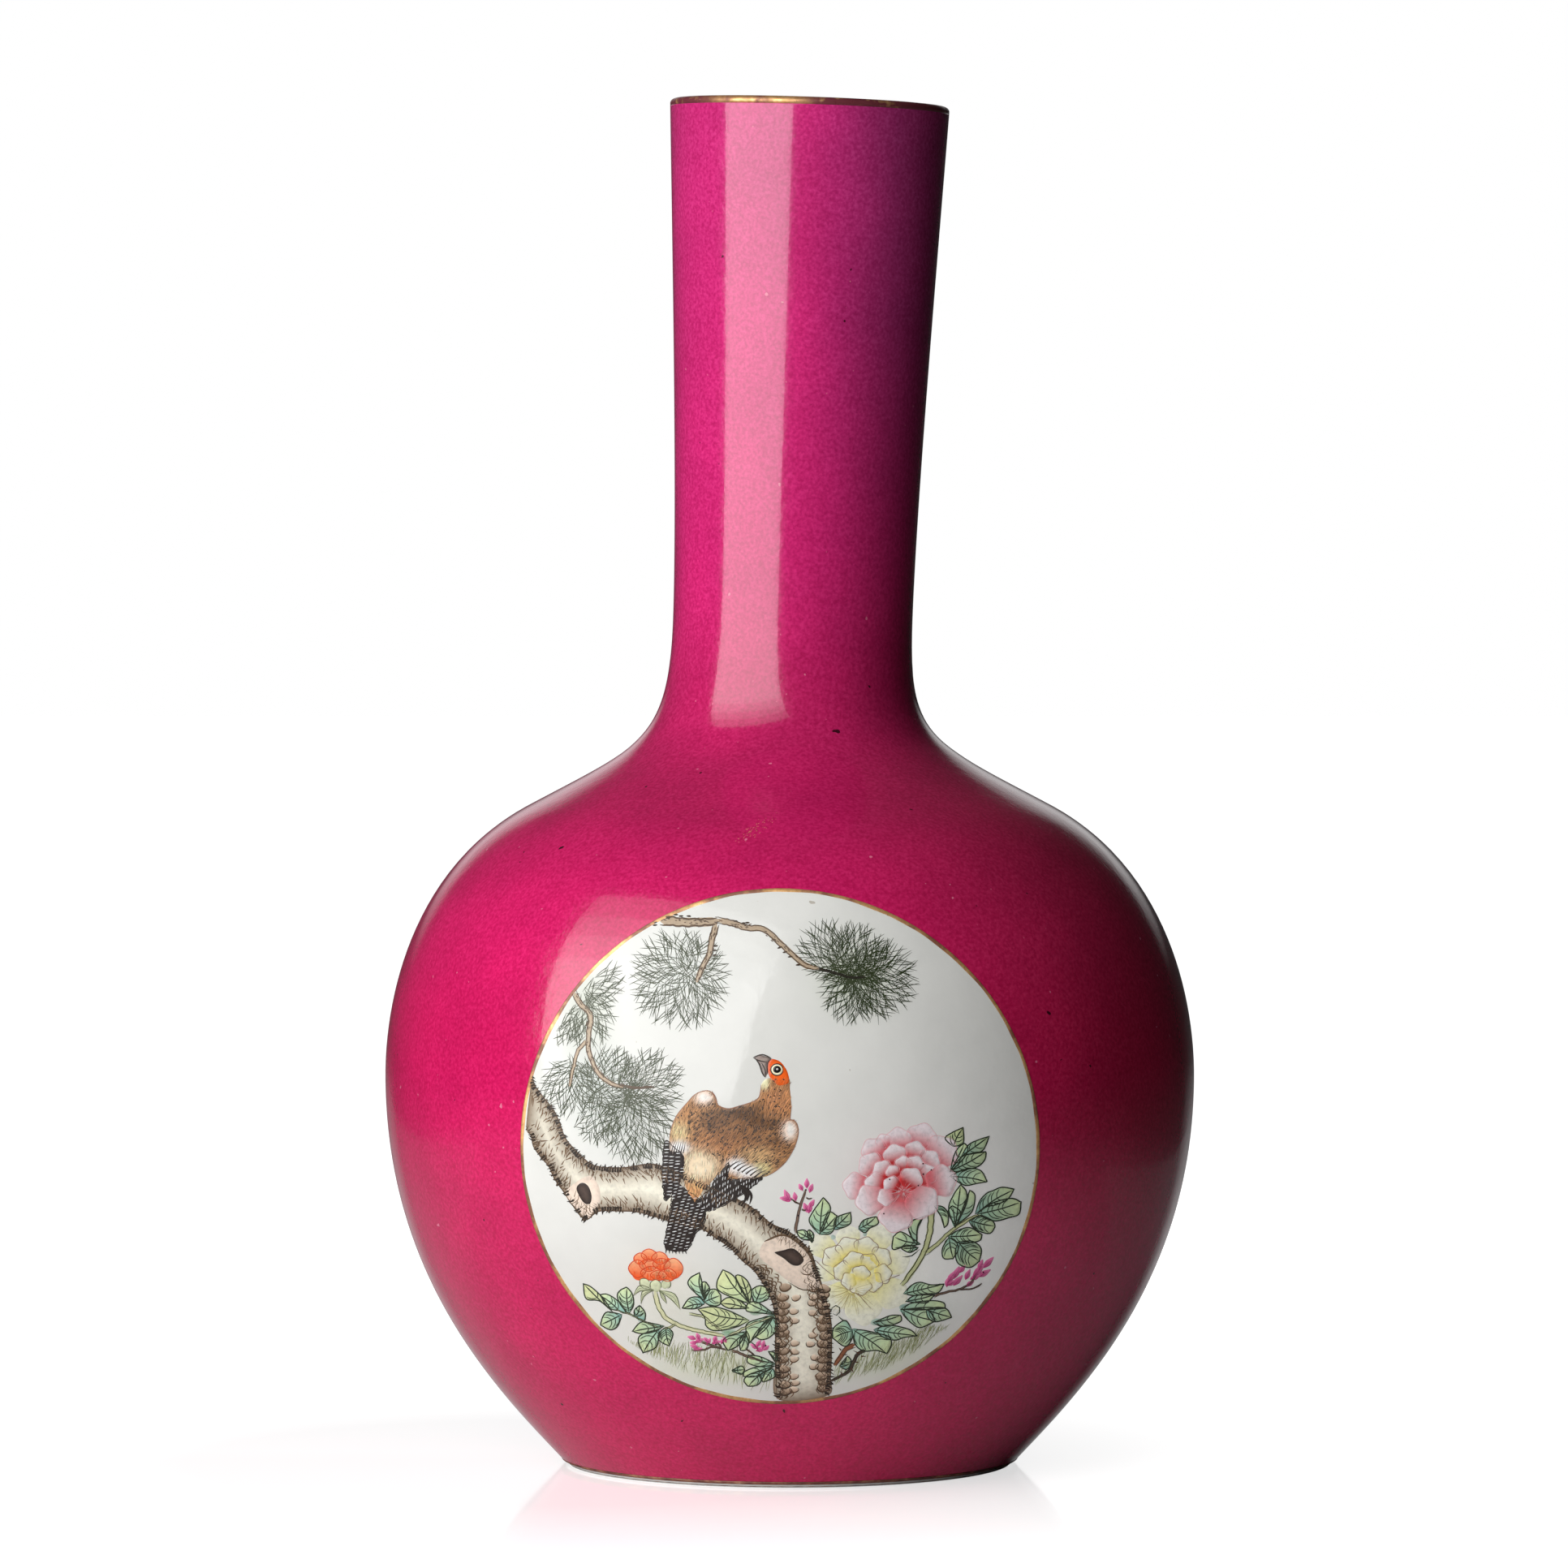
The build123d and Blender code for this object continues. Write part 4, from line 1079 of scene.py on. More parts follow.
def yellow_peony():
    """Broad pale petals round a cup of small outlined ones, with fine veins below."""
    brush = Brush()
    pale, cream, gold = ink(246, 246, 216), ink(244, 240, 186), ink(238, 222, 118)
    line_tint = ink(146, 122, 106)
    heart = (30.5, -47)
    for u, v, reach in YELLOW_OUTER:
        lift = 0.03 + 0.006 * dice.random()
        petal(brush, (u, v), reach, heart, pale, mixed(cream, gold, 0.4), lift, hold=0.25, wave=0.06)
    for u, v, reach in YELLOW_INNER:
        lift = 0.06 + 0.02 * dice.random()
        petal(brush, (u, v), reach, (30.5, -49), ink(248, 246, 216), ink(236, 220, 120), lift, line_tint,
              1.15, 0.26, 0.2, 0.09)
    for k in range(26):
        angle = radians(150 + 9 * k + dice.gauss(0, 3))
        reach = dice.uniform(5, 10)
        way = heading(angle)
        base = np.array([27.5, -53.5]) + way * 1.5
        side = left(way) * dice.uniform(-0.7, 0.7)
        if way[1] < 0.3:
            brush.stroke([base, base + way * reach * 0.5 + side, base + way * reach], 0.2,
                         mixed(gold * 0.85, line_tint, dice.uniform(0.1, 0.7)), 0.09, "out")
    for line in ([(14, -42), (17, -45), (22, -49), (26, -51.5)], [(46, -48), (42, -49.5), (38, -51.3)],
                 [(30, -55), (33, -59), (36, -62)], [(19, -41), (17.5, -39), (16, -37)]):
        brush.stroke(line, 0.28, line_tint, 0.12, "out")
    brush.build("yellow_peony")


CORAL = [  # centre, reach, how round
    (-54.8, -46.6, 3.4, 1.15), (-53.6, -42.6, 2.6, 1.0), (-50.3, -41, 3.0, 0.9), (-46.2, -42, 3.0, 0.9),
    (-40.9, -46, 3.6, 1.25), (-50.6, -45, 3.4, 0.8), (-45.4, -44.4, 3.4, 0.75), (-43.2, -48.6, 3.4, 0.85),
    (-49.4, -48.2, 4.1, 0.75), (-46.5, -48.9, 3.2, 0.7)]


CORAL_BLADES = [  # tip, bend
    ((-56.8, -57.5), (-54, -53.9)), ((-53.6, -60.3), (-52.6, -56)), ((-43.6, -59.7), (-45, -57)),
    ((-38.4, -61.9), (-41, -57))]


def coral_peony():
    """A small orange flower on a long bent stalk, with green sepals and narrow leaves below it."""
    brush = Brush()
    pale, bright, dark = ink(244, 168, 124), ink(234, 96, 44), ink(206, 66, 26)
    brush.wash([(-55.5, -50.8), (-57.6, -47), (-56, -43.2), (-54.5, -40.5), (-50, -38.4), (-45.5, -39.8),
                (-41.4, -42.2), (-38.4, -46), (-40.4, -49.8), (-44, -50.6), (-50, -50.4)], flat(bright), 0.03)
    for u, v, reach, squash in CORAL:
        centre = np.array([u, v + 0.5])
        shape = around(centre, reach, reach * squash * 0.88, 0, 16, 0.04, 4)
        brush.wash(shape, along(centre + (0, 0.9 * reach), pale, centre - (0, 0.8 * reach), bright), 0.07,
                   1.0, 0.8, 0.3)
        ends = np.vstack([shape, shape[:1]])
        brush.stroke(ends, 0.34, dark, 0.12, "even", 0.8)
        for _ in range(5):
            base = centre + (dice.uniform(-0.6, 0.6) * reach, -0.75 * reach * squash)
            brush.stroke([base, base + (dice.uniform(-0.5, 0.5), reach * 0.55)], 0.6, bright * 0.92, 0.10,
                         "out")
    green, edge = ink(206, 212, 176), ink(98, 104, 74)
    for u, v, reach in ((-51.9, -52.0, 2.4), (-43.9, -51.9, 2.2), (-47.8, -52.7, 2.7)):
        petal(brush, (u, v), reach, (-47.7, -56), green, green * 0.85, 0.08, edge, 0.8, 0.3)
    twig(brush, [(-48.2, -54.6), (-47, -60.5), (-44.1, -65.3), (-39.9, -68), (-35.2, -69.5), (-30, -70.8),
                 (-24.8, -71.6), (-21.5, -72.4)], 1.8, ink(208, 208, 168), edge)
    twig(brush, [(-39.9, -67.8), (-43.1, -69.5), (-45, -70)], 0.8, ink(190, 190, 150), edge)
    for tip, bend in CORAL_BLADES:
        root = np.array([-48.5 if tip[0] < -48 else -46.5, -54.4])
        tip, bend = np.array(tip), np.array(bend)
        side = left(root - bend) * 0.22
        shade = along(root, green * 0.8, tip, green)
        brush.wash([root, bend + side, tip, bend - side], shade, 0.08, 0.9, 0.7, 0.25)
        for turn in (1, -1):
            brush.stroke([root, bend + side * turn, tip], 0.32, edge, 0.13)
        brush.stroke([root, bend, (bend + tip) / 2], 0.22, edge, 0.13, "out")
    brush.build("coral_peony")


# ---- Leaves ----
INK_LINE = ink(58, 68, 52)
BLUE, GREEN, MOSS = ink(134, 182, 176), ink(166, 200, 162), ink(206, 220, 170)
LEAF_LINE = 0.5


def leaf(brush, outline, base, tip, ribs):
    """A leaf from its stalk end: graded wash, dark outline, midrib and ribs that sweep forward."""
    outline = np.array(outline, float)
    foot = outline[0]
    far = outline[np.argmax(np.hypot(*(outline - foot).T))]
    centre = outline.mean(0)
    corners = np.hypot(*(outline - far).T) < 0.01
    outline = np.repeat(outline, np.where(corners, 3, 1), axis=0)
    outline[0] += (foot - far) * 0.04
    brush.wash(outline, along(foot, base, far, tip, 0.9), 0.04 + 0.03 * dice.random(), 1.3, 0.9, 0.3)
    around_it = smooth(np.vstack([outline, outline[:1]]), 0.8)
    brush.stroke(around_it, LEAF_LINE, INK_LINE * dice.uniform(0.5, 0.9), 0.10, "even", 0.8)
    middle = (foot + far) / 2 * 0.5 + centre * 0.5
    midrib = smooth([foot, middle, foot + (far - foot) * 0.94], 0.8)
    brush.stroke(midrib, LEAF_LINE, INK_LINE * 0.8, 0.11, "even")
    shape = smooth(outline, 0.8, closed=True)
    way = unit(far - foot)
    for k in range(ribs):
        start = midrib[int((0.10 + 0.66 * k / ribs) * (len(midrib) - 1))]
        for turn in (1, -1):
            side = left(way) * turn
            run = start + np.outer(np.linspace(0, 8, 33), side * 0.72 + way * 0.69)
            held = inside(run, shape)
            reach = np.argmin(held) * 0.25 if not held.all() else 8
            if reach > 0.9:
                end = start + (side * 0.70 + way * 0.74) * reach * 0.86
                middle = (start + end) / 2 + (side - way) * reach * 0.09
                brush.stroke([start, middle, end], LEAF_LINE * 0.72, INK_LINE * 0.95, 0.11, "even", 0.9)


LEAF_OUTLINES = [  # each from its stalk end round
    [(66.6, 2), (63.3, 5), (65.7, 7), (70.3, 9), (70.3, 2.9)],
    [(70, -1.8), (72.4, 2.2), (76, 3.9), (80.4, 5.2), (78, -0.1), (73.6, -1.2)],
    [(65.5, -7.7), (66.6, -2.3), (68.4, 1.2), (70.9, 2.9), (72.2, 0.8), (70.5, -3)],
    [(65.5, -7.7), (70, -2.2), (74.2, -1.3), (79.3, -0.7), (78.7, -3.9), (76, -6.4), (72.4, -7.2),
     (68.3, -8)],
    [(65.7, -9.8), (69.4, -7.7), (73.6, -7), (77.4, -8.2), (79.7, -12.4), (75.3, -13), (70.8, -13.4)],
    [(67.5, -29.5), (64.8, -22.6), (66.6, -17.2), (69.4, -13.2), (71.7, -16.2), (71.2, -21.5)],
    [(68, -28.5), (71.2, -20), (73, -15.5), (75, -17.6), (74, -23.6), (70.6, -27)],
    [(67.5, -29.5), (64.6, -23.8), (66.2, -21.3), (69.4, -24)],
    [(75.6, -24.7), (76.8, -20), (79.5, -17), (81.9, -16.1), (85.5, -14.9), (90.2, -15.9), (87.9, -19.6),
     (83.1, -21.7), (79.5, -22.3)],
    [(76.5, -25), (79.5, -22), (84.3, -20.2), (89.6, -19.5), (93.0, -21.2), (92.3, -25.8), (88.5, -27),
     (82.5, -28)],
    [(73, -27.4), (77.2, -25.6), (81.9, -28), (83, -30.2), (80.9, -32.9), (76.5, -31.7), (74, -29.8)],
    [(65, -33.4), (68.3, -31.2), (73, -30.2), (77.7, -33.2), (77.2, -35.4), (73.6, -36.2), (69.5, -36.3)],
    [(65, -34), (62.5, -38), (63, -42), (66.6, -42.2), (68.6, -38.7), (67.6, -35.2)],
    [(68.7, -36), (74.1, -35.7), (77.6, -38.9), (76.8, -43.8), (73.3, -46.1), (68.7, -44.3), (67.5, -40)],
    [(15.3, -31), (11.3, -26.5), (12.6, -22.6), (16.6, -17), (19.3, -20.7), (18.2, -25.2)],
    [(15.3, -31), (18.5, -22.9), (21.7, -24.2), (21.1, -28.4), (19.1, -31.2)],
    [(20.6, -29), (21.7, -24.9), (27, -22.9), (26.9, -27.3), (22, -29.5)],
    [(30.3, -29.3), (32, -26.1), (37, -24.7), (37.7, -27.4), (34.3, -29.3), (32.6, -31)],
    [(12.8, -33.8), (9.6, -29.8), (6.3, -30.2), (8.2, -33.0)],
    [(12.2, -34.6), (13, -31.6), (11.2, -29.4), (10.4, -31.4)],
    [(53.7, -35.9), (46.7, -31.0), (43.5, -32.8), (43.2, -37.7), (47.2, -37)],
    [(53, -37.3), (49.9, -39.2), (46.6, -37.6), (48.5, -36.2)],
    [(59.3, -21.3), (62.5, -21.6), (64.5, -24.2), (64.5, -28.3), (63.1, -29.8), (62.4, -26.5),
     (60.8, -23.6)],
    [(52.6, -35.9), (50, -32), (49.4, -28.8), (51, -26.6), (55, -25.2), (52.8, -29.2)],
    [(48, -55.5), (50.5, -52.4), (53.8, -51.2), (58.2, -52.4), (63.2, -52.3), (61, -55.6), (55.7, -56),
     (51.8, -56.5)],
    [(48.7, -58.7), (52, -56.5), (59.6, -56.5), (56.7, -59.4), (53.3, -59.4)],
    [(47, -62), (50.8, -59.5), (58.6, -58.8), (63.2, -59.9), (63.7, -62.1), (56, -62.4)],
    [(47, -62), (56.7, -62.5), (59.9, -67.2), (54.3, -69.6), (50.8, -67.7), (47.7, -64.3)],
    [(56.7, -62.5), (60.5, -61.6), (64.4, -62.5), (66.3, -66), (60.1, -67.5), (57.2, -65.7)],
    [(36.2, -66.9), (39.6, -65.4), (43, -64.2), (46.6, -64.4), (46.4, -66.9), (40, -68.7)],
    [(36.7, -70), (42, -68.2), (49.9, -70.2), (52.8, -72.9), (48, -73.4), (44.5, -74.4), (40.1, -73.2)],
    [(28.3, -69.8), (32.3, -70.0), (37.2, -71.3), (42, -72.9), (43, -76.2), (41.3, -79.8), (37.2, -78.4),
     (32.3, -78.5), (29, -75.6)],
    [(27.6, -70.2), (25.5, -66.0), (23, -66.8), (20.4, -69.4), (20.4, -73), (25.2, -76.5), (27.9, -73)],
    [(23, -84.5), (26, -80.5), (27.5, -82.5), (26, -86)],
    [(-65.1, -63.7), (-69.8, -59.9), (-75, -59.3), (-76, -53.3), (-73, -54.4), (-68.4, -58.6)],
    [(-62, -63.5), (-66.5, -62.2), (-69.5, -57.4), (-66.7, -57), (-62.5, -59.6), (-59.4, -64.3)],
    [(-58.3, -64), (-61.2, -61.5), (-62.8, -57.6), (-61.7, -55.2), (-59.1, -53.7), (-57, -56.3),
     (-56.5, -60.7)],
    [(-56, -65.5), (-56.2, -63), (-54.1, -60.9), (-52, -63.8), (-52.6, -67.1)],
    [(-61.4, -65.1), (-66.7, -64.2), (-68.7, -66.7), (-69.5, -69.7), (-65.7, -71.5), (-62.8, -69.8)],
    [(-45, -69), (-48.3, -68.2), (-53.6, -67.7), (-57, -71.6), (-53.6, -72.4), (-48.9, -71.5)],
    [(-47, -70.6), (-53.6, -72.9), (-54.8, -75.9), (-53, -80.3), (-48.3, -78.1), (-46.8, -74)],
    [(-44, -69.5), (-46.6, -71.8), (-47, -74.3), (-45.2, -76), (-42.8, -76.9), (-41.3, -72.1),
     (-42.6, -70)],
    [(-29.2, -57.6), (-34.9, -52.5), (-34.6, -49.3), (-31, -47), (-30.0, -50.7)],
    [(-29.2, -57.6), (-30.2, -51.5), (-28.6, -50.4), (-27, -53.5)],
    [(-29.2, -59.4), (-31, -56.8), (-34.9, -57.4), (-37.6, -61.4), (-32.6, -61.4)],
    [(-29, -58.5), (-28.4, -54.6), (-24.8, -53.4), (-22.8, -55.8), (-23, -59.4), (-26.3, -60.2)],
    [(-11.7, -58.8), (-22.7, -54.5), (-24.2, -50.8), (-21.9, -45.6), (-17.8, -48), (-14.6, -54)],
    [(-11.7, -58.4), (-16.9, -48.6), (-15, -47.7), (-12.5, -49.9), (-10.9, -54.1)],
    [(-9.5, -58.8), (-11, -54.3), (-9.3, -52.3), (-7, -51.6), (-4.4, -53.6), (-4.7, -57.1)],
    [(-12.2, -60.8), (-15.9, -57.6), (-20.1, -56.7), (-23, -58.9), (-19.5, -61)],
    [(-12.5, -65.6), (-20.1, -61.8), (-26.2, -60.5), (-31.5, -61.6), (-28.9, -65), (-28.4, -68.4),
     (-24.8, -70.2), (-17, -68.6)],
    [(-2.3, -63.2), (-8.5, -58.5), (-12.2, -58.6), (-12.9, -61.9), (-7, -62.8)],
    [(-2.3, -63.8), (-8.5, -71.2), (-11.9, -75.1), (-13, -70.5), (-11.9, -66.6)],
    [(-2.3, -64), (-1.0, -68.9), (-4, -72.6), (-7.2, -73.6), (-9.2, -72.6), (-6.4, -67)],
    [(-12.8, -70.5), (-19, -71.9), (-22, -74.4), (-20.1, -78.2), (-16, -76)],
    [(-12.8, -70.5), (-15.5, -74), (-15.2, -78.1), (-12.9, -77.6), (-11.8, -73)],
    [(-1.8, -83.5), (-7.6, -80.6), (-12.1, -80), (-12.5, -83), (-7.6, -84.7)],
    [(-1.8, -83), (-4.4, -78.5), (-2.2, -78.8), (-0.8, -81)],
    [(-2.3, -84.5), (-9, -84.9), (-13.8, -87), (-13.9, -88.9), (-9.2, -88.7)],
    [(-5.5, -86.5), (-11, -87.6), (-13.9, -90.3), (-12.4, -93), (-8.2, -92)],
    [(-2.8, -85.6), (-1.9, -88.8), (-6.5, -91.2), (-7.6, -88)],
    [(-18.5, -86.5), (-15, -84.5), (-13.6, -86), (-15, -88)]]
YELLOWISH = {46, 47, 50, 49, 0, 34}  # places in LEAF_OUTLINES
SHADED = [  # centre, reach across, reach up, colour
    ((-9, -62), 3.2, 2.0, (122, 156, 124)), ((-19, -71), 4, 1.8, (138, 172, 140)),
    ((53, -65.5), 3.6, 2.6, (132, 164, 128)), ((38, -66.8), 3.6, 1.6, (140, 176, 160)),
    ((66, -10), 2.6, 1.8, (124, 156, 156)), ((79, -24), 4.5, 1.6, (112, 134, 130)),
    ((68.5, -34), 2.6, 1.6, (120, 154, 146)), ((77, -29.5), 2.4, 2.2, (126, 160, 146)),
    ((48.5, -61), 3, 1.6, (118, 156, 148)), ((-47.5, -71), 2, 1.8, (150, 178, 172)),
    ((-53.5, -66.8), 1.8, 1.2, (138, 158, 154)), ((15, -28.5), 3, 2.6, (170, 196, 186)),
    ((20.4, -32.6), 1.2, 1.2, (150, 182, 176)), ((32.6, -31.3), 1.0, 1.4, (150, 182, 168))]


STALKS = [  # run, width, colour
    ([(58.3, -21), (57.9, -27), (57.2, -33), (55.4, -39), (52, -45), (46.9, -52.3)], 2.3, (196, 200, 150)),
    ([(55.6, -40), (59.5, -37), (64.6, -32.4), (68.3, -29.6), (73, -26.8), (77, -25.3)], 1.5,
     (196, 200, 150)),
    ([(-20, -72.3), (-15, -69.6), (-9, -66.5), (-2, -64)], 1.0, (196, 200, 160)),
    ([(-46.5, -69.8), (-50.4, -68.2), (-55.1, -66), (-59.3, -64.3), (-64, -63)], 0.6, (150, 160, 130)),
    ([(-35, -63.5), (-30, -64.5), (-26, -67.5), (-22, -70.5)], 0.9, (196, 200, 160))]
CURLS = [
    [(19.6, -62.5), (20.2, -60.4), (22.2, -59.8), (23.2, -61.8), (21.6, -63.8), (20.2, -63)],
    [(22.4, -64), (24, -65.6), (26, -66.4)], [(-13, -73.5), (-10, -75.5), (-7.8, -79)],
    [(53.6, -38), (50.5, -40.6), (46.9, -40.8)], [(26, -76.6), (27, -75), (27.4, -72)]]
BROWN_TWIG = [(28.9, -75.8), (25.5, -77.6), (23.5, -80.6), (21, -84.3)]
DARK_TWIG = [(33.2, -77.9), (29.9, -79.9), (28.4, -83.3), (26.5, -86.9), (22.5, -89.3), (19.6, -90.8)]
THORNS = [
    [(23.5, -78), (22.7, -76.9)], [(24.2, -80), (26.2, -79.8)], [(30.5, -79.4), (28.2, -78.2)],
    [(29, -83), (30.6, -83.2)], [(27.4, -85.2), (28.4, -87.4)], [(31.3, -80.6), (33.2, -80.8)],
    [(24, -88.2), (23.4, -86.6)]]


def peony_leaves():
    """Stalks, shaded places between the leaves, the leaves, curled tendrils and two thorny twigs."""
    brush = Brush()
    for (u, v), reach_u, reach_v, colour in SHADED:
        brush.wash(around((u, v), reach_u, reach_v, 0, 12, 0.08, 3),
                   edged(ink(196, 208, 196), ink(*colour), 1.4), 0.035, 1.2, 0.9, 0.4)
    for run, width, colour in STALKS:
        twig(brush, run, width, ink(*colour), ink(74, 76, 52))
    for number, outline in enumerate(LEAF_OUTLINES):
        base, tip = (MOSS, ink(212, 218, 164)) if number in YELLOWISH else (BLUE, MOSS)
        shift = dice.uniform(0.92, 1.12)
        ribs = 5 if len(outline) > 6 else 3
        leaf(brush, outline, mixed(base, GREEN, dice.uniform(0, 0.5)) * shift, tip * shift * 1.06, ribs)
    for curl in CURLS:
        brush.stroke(curl, 0.45, INK_LINE, 0.1)
    thorn = ink(86, 56, 40)
    twig(brush, BROWN_TWIG, 1.9, ink(140, 86, 58), thorn)
    twig(brush, DARK_TWIG, 1.3, ink(70, 58, 46), ink(50, 42, 36))
    for spike in THORNS:
        brush.stroke(spike, 0.55, thorn, 0.12, "out", 0.8)
    brush.build("peony_leaves")


# ---- Buds and grass ----
BUDS = [  # place, half length, lean in degrees
    (2.7, -16.2, 2.4, 115), (1.7, -17.4, 1.8, 170), (3.4, -17.8, 1.6, 20), (5.8, -16.6, 1.7, 100),
    (8, -13, 1.5, 120), (10.3, -11.5, 1.9, 90), (11.9, -13.4, 1.8, 70), (9.8, -20.6, 1.7, 115),
    (11.4, -21, 2.2, 80), (12.2, -19.4, 1.8, 60), (10.6, -22, 1.5, 170), (66, -49.6, 2.6, 58),
    (68, -48, 2.6, 66), (68.6, -51.2, 2.6, 48), (66.2, -52, 1.9, 30), (72.4, -49, 2.2, 66),
    (73.4, -52.6, 1.8, 35), (76.6, -47.6, 3.2, 48), (80.4, -44.6, 2.8, 46), (79.0, -48.8, 2.6, 30),
    (77.4, -45.4, 2.2, 70), (75.4, -50.2, 2.2, 20), (64.6, -51.6, 2.0, 80), (70.2, -46.6, 2.0, 50),
    (-34, -73.4, 1.7, 165), (-31.6, -72.8, 1.6, 110), (-31, -74.4, 1.9, 20), (-33.4, -75.4, 1.4, 185),
    (-27.6, -74.8, 1.6, 60), (-25, -73.6, 1.6, 80), (-24.6, -75, 1.8, 15), (-28.6, -74, 1.2, 130),
    (-33, -77, 1.7, 160), (-31.6, -78, 1.7, 10), (-22, -74.4, 1.4, 60), (-21.2, -73.8, 1.4, 110),
    (-9.8, -76.4, 1.8, 150), (-8.2, -75.2, 1.6, 60), (-6.4, -75.6, 1.7, 80), (-7.4, -77.6, 2.0, 20),
    (-5.2, -77, 1.4, 45)]
BUD_TWIGS = [
    ([(6.3, -31), (6.2, -28), (7, -24), (8.2, -19), (9.9, -14.2)], 1.0),
    ([(8, -19.8), (6, -18.6), (4, -17.4)], 0.4), ([(8.4, -21.5), (9.2, -22), (10, -21.6)], 0.5),
    ([(10, -17), (11, -17.6), (12.3, -17.2)], 0.35),
    ([(59.2, -57.3), (63, -55.8), (68.9, -54.8), (73.3, -52.6), (75.6, -49.6)], 0.8),
    ([(69, -54.8), (74, -54.8), (78, -52.8)], 0.45), ([(-30.5, -74.9), (-26.8, -76), (-22.7, -77.3)], 0.8),
    ([(-34, -78.5), (-30, -78.4), (-26, -76.9), (-20.5, -78)], 0.6),
    ([(-24.5, -74.6), (-23.4, -76), (-22.4, -77.4)], 0.6),
    ([(-18.8, -77.9), (-14.4, -79.7), (-10.2, -81.4), (-5, -83)], 0.9),
    ([(-13.4, -77), (-11.6, -78.6), (-9.6, -80.6)], 0.5)]


def bud_sprays():
    """Thin dark twigs with pointed magenta buds."""
    brush = Brush()
    magenta, deep, bark = ink(226, 130, 174), ink(190, 62, 124), ink(74, 58, 50)
    for points, width in BUD_TWIGS:
        twig(brush, points, width, ink(120, 98, 84), bark)
    for u, v, reach, lean in BUDS:
        way = heading(radians(lean))
        at = np.array([u, v])
        wide = (0.62 + 0.24 * reach) * left(way)
        low, high = at - way * reach * 0.2, at + way * reach * 0.6
        shape = [at - way * reach, low + wide, high + wide * 0.62, at + way * reach * 1.15,
                 high - wide * 0.62, low - wide]
        brush.wash(shape, along(at - way * reach, deep, at + way * reach, magenta), 0.07, 0.8, 0.6, 0.22)
        brush.stroke([at - way * reach, at + way * reach * 0.5], 0.35, deep * 0.9, 0.13, "out", 0.9)
    for u, v in ((9.9, -14), (7, -24), (-24.7, -75.8), (78.5, -48.4), (-5.6, -76)):
        brush.dot((u, v), ink(40, 24, 34), 0.15)
    brush.build("bud_sprays")


GRASS_FOOT, GRASS_LIMIT = 96.5, 96.8
MEADOWS = [(-62, -3, 300, 0.14, -75.5), (20.5, 66, 230, 0.42, -69)]  # left, right, blades, lean, crest


def grass():
    """Thin blades over a pale green ground, up from the panel's lower edge."""
    brush = Brush()
    for low, high, count, lean, crest in MEADOWS:
        for _ in range(count):
            u = dice.uniform(low, high)
            ground = -sqrt(GRASS_FOOT ** 2 - u ** 2)
            v = ground + (dice.uniform(0.6, max(-80 - ground, 1)) if low < 0 else dice.uniform(1.0, 7.5))
            top = min(v + dice.uniform(4.0, 7.5), crest + dice.gauss(0, 0.8))
            tip = (u + (top - v) * dice.gauss(lean, 0.2), top)
            covered = low < 0 and u > -14 and v > -94
            if top < v + 1.5 or covered or np.hypot(*tip) > GRASS_LIMIT:
                continue
            tone = mixed(ink(178, 184, 138), ink(122, 128, 86), dice.random())
            middle = ((u + tip[0]) / 2 + dice.gauss(0, 0.2), (v + top) / 2)
            brush.stroke([(u, v), middle, tip], dice.uniform(0.16, 0.26), tone, 0.05, "both", 1.8, 0.02)
    brush.build("grass")


def gold_scuff():
    """Flecks of stray gold in one slanting smear above the front panel."""
    brush = Brush()
    for _ in range(80):
        u = dice.triangular(-18, 0, -11)
        at = np.array([u, 122.6 + 0.56 * (u + 9) + dice.gauss(0, 1.3)])
        half = np.array([0.86, 0.5]) * dice.uniform(0.1, 0.4)
        tone = mixed(ink(182, 44, 88), ink(212, 130, 110), dice.random())
        fleck = [at - half, at, at + half]
        brush.stroke(fleck, dice.uniform(0.14, 0.26), tone, PANEL_INSET + 0.02, step=0.3, crown=0.02)
    add_piece("gold_scuff", brush.points(), brush.faces, PAINT, [], np.vstack(brush.tints))


pine_needles()
pine_bough()
pine_trunk()
bird()
pink_peony()
yellow_peony()
coral_peony()
peony_leaves()
bud_sprays()
grass()
gold_scuff()


# ---- Stage, light and camera ----
FLOOR_CORNERS = [(-9, -6), (9, -6), (9, 9), (-9, 9)]
FLOOR_DROP, FLOOR_SHIFT = 0.00003, -0.08


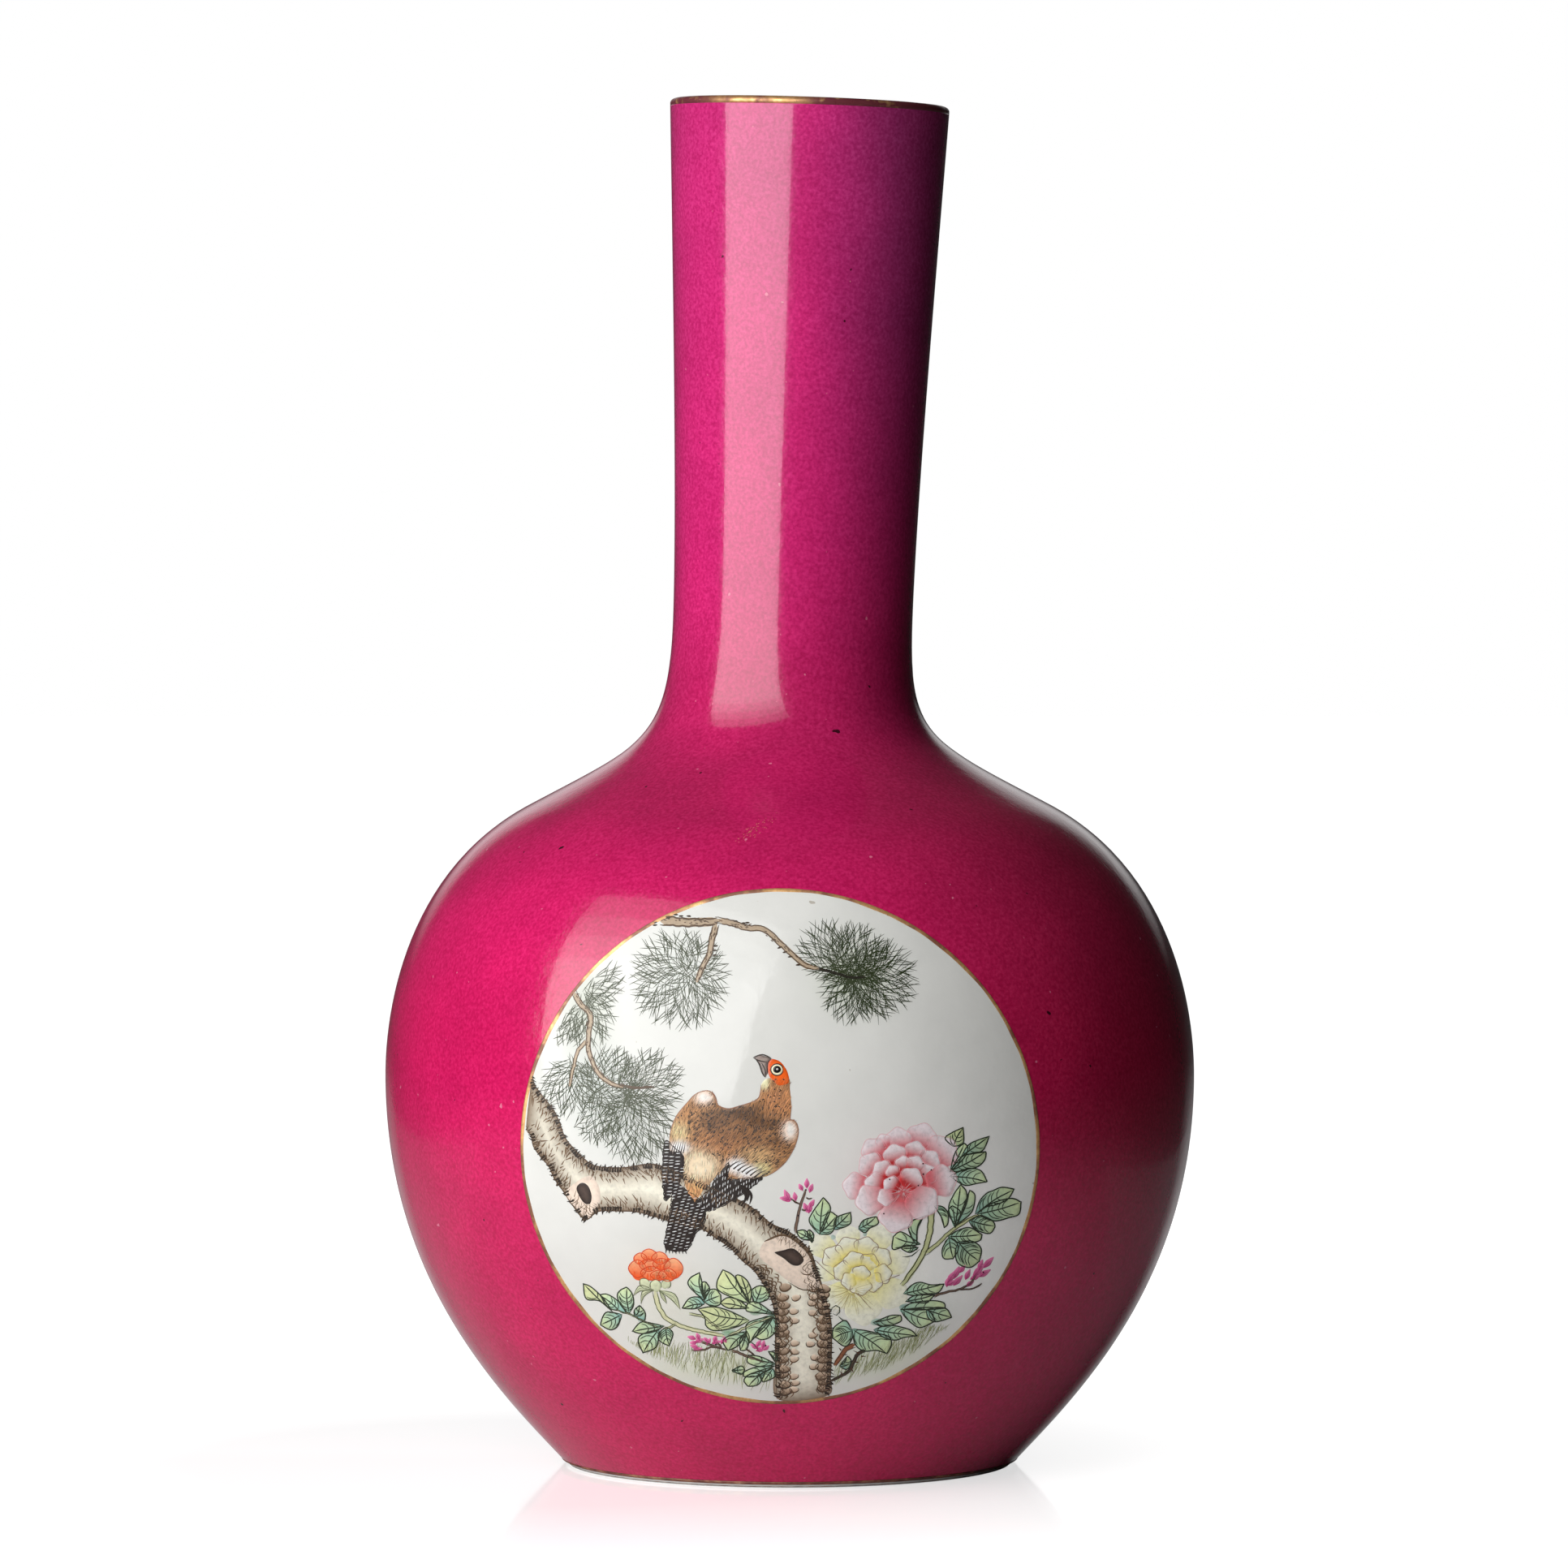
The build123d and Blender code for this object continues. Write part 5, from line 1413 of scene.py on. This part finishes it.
def stage():
    """A pale glossy floor that glows white to the camera, greyer near the vase's foot."""
    pale = Finish("floor", (0.50, 0.50, 0.50), 0.08, specular=0.3)
    pale.shader.inputs["Emission Color"].default_value = (1, 1, 1, 1)
    far = pale.add("VectorMath", operation="LENGTH")
    pale.feed(far.inputs[0], pale.add("TexCoord").outputs["Object"])
    away = far.outputs["Value"]
    glow = pale.ramp(away, (0.12, 0.595), (0.34, 1.0))
    seen = pale.add("LightPath").outputs["Is Camera Ray"]
    across = pale.add("Math", operation="ABSOLUTE")
    pale.feed(across.inputs[0], pale.axis("X"))
    sheet = pale.times(pale.ramp(across.outputs["Value"], (0.57, 1), (0.59, 0)),
                       pale.ramp(pale.axis("Y"), (0.0, 0), (0.03, 1)))
    fade = pale.ramp(away, (0.30, (0.56, 0.55, 0.55)), (0.85, (0.20, 0.20, 0.20)))
    fade = pale.blend(sheet, fade, (0.62, 0.61, 0.61))
    pale.set(Emission_Strength=pale.blend(seen, (0.0, 0.0, 0.0), glow),
             Base_Color=pale.times(fade, pale.cloud(3, 3, (0.3, 0.97), (0.7, 1.03))))
    mesh = bpy.data.meshes.new("floor")
    mesh.from_pydata([(x, y, -FLOOR_DROP) for x, y in FLOOR_CORNERS], [], [(0, 1, 2, 3)])
    floor = bpy.data.objects.new("floor", mesh)
    bpy.context.scene.collection.objects.link(floor)
    mesh.materials.append(pale.material)
    floor.location.x = FLOOR_SHIFT


LIGHT_AIM = Vector((0, 0, 0.2))
KEY_AZIMUTH, KEY_ELEVATION, KEY_DISTANCE, KEY_WIDTH = radians(-43), radians(26), 1.7, 2.04
KEY_STRIPS = [(-1.05, 0.2, 35), (0.2, 0.45, 5.2), (0.45, 0.7, 3.6), (0.7, 1.05, 3.0)]  # from, to, watts


def key_light(low, high, power):
    """One strip of the softbox on the left, between two heights up its own face."""
    light = bpy.data.lights.new("key", "AREA")
    light.shape = "RECTANGLE"
    light.size, light.size_y = KEY_WIDTH, high - low
    light.energy = power
    lamp = bpy.data.objects.new("key", light)
    level = cos(KEY_ELEVATION)
    way = Vector((sin(KEY_AZIMUTH) * level, -cos(KEY_AZIMUTH) * level, sin(KEY_ELEVATION)))
    turn = way.to_track_quat("Z", "Y")
    lamp.location = LIGHT_AIM + KEY_DISTANCE * way + turn @ Vector((0, (low + high) / 2, 0))
    lamp.rotation_euler = turn.to_euler()
    bpy.context.scene.collection.objects.link(lamp)
    lamp.visible_camera = False


def surroundings():
    """Studio air: white to the camera, bright behind the vase, and nearly dark elsewhere."""
    world = bpy.data.worlds.new("studio")
    bpy.context.scene.world = world
    world.use_nodes = True
    air = Nodes(world.node_tree)
    air.tree.nodes.clear()
    x, y, z = (air.axis(name, "Generated") for name in "XYZ")
    side = air.ramp(x, (0.0, 0.04), (0.5, 0.01), (1.0, 0.001))
    behind = air.times(air.ramp(z, (0.06, 0), (0.16, 1)), air.ramp(y, (0.88, 0), (0.96, 0.9)))
    side = air.blend(behind, side, (0.85, 0.85, 0.85))
    seen = air.add("LightPath").outputs["Is Camera Ray"]
    shade = air.add("Background", Strength=1.0, Color=air.blend(seen, side, (1.0, 1.0, 1.0)))
    air.add("OutputWorld", Surface=shade.outputs["Background"])


CAMERA_PLACE, CAMERA_DROOP = (-1.9 * MM, -2722 * MM, 322 * MM), 2.042
SENSOR_WIDTH, FOCAL_LENGTH = 36, 188.9


def camera():
    """The eye in front of the vase and a little above its middle, looking slightly down."""
    lens = bpy.data.cameras.new("camera")
    lens.sensor_width = SENSOR_WIDTH
    lens.lens = FOCAL_LENGTH
    eye = bpy.data.objects.new("camera", lens)
    eye.location = CAMERA_PLACE
    eye.rotation_euler = (radians(90 - CAMERA_DROOP), 0, 0)
    bpy.context.scene.collection.objects.link(eye)
    bpy.context.scene.camera = eye


stage()
for strip in KEY_STRIPS:
    key_light(*strip)
surroundings()
camera()
bpy.context.scene.view_settings.view_transform = "Standard"
bpy.context.scene.view_settings.look = "None"
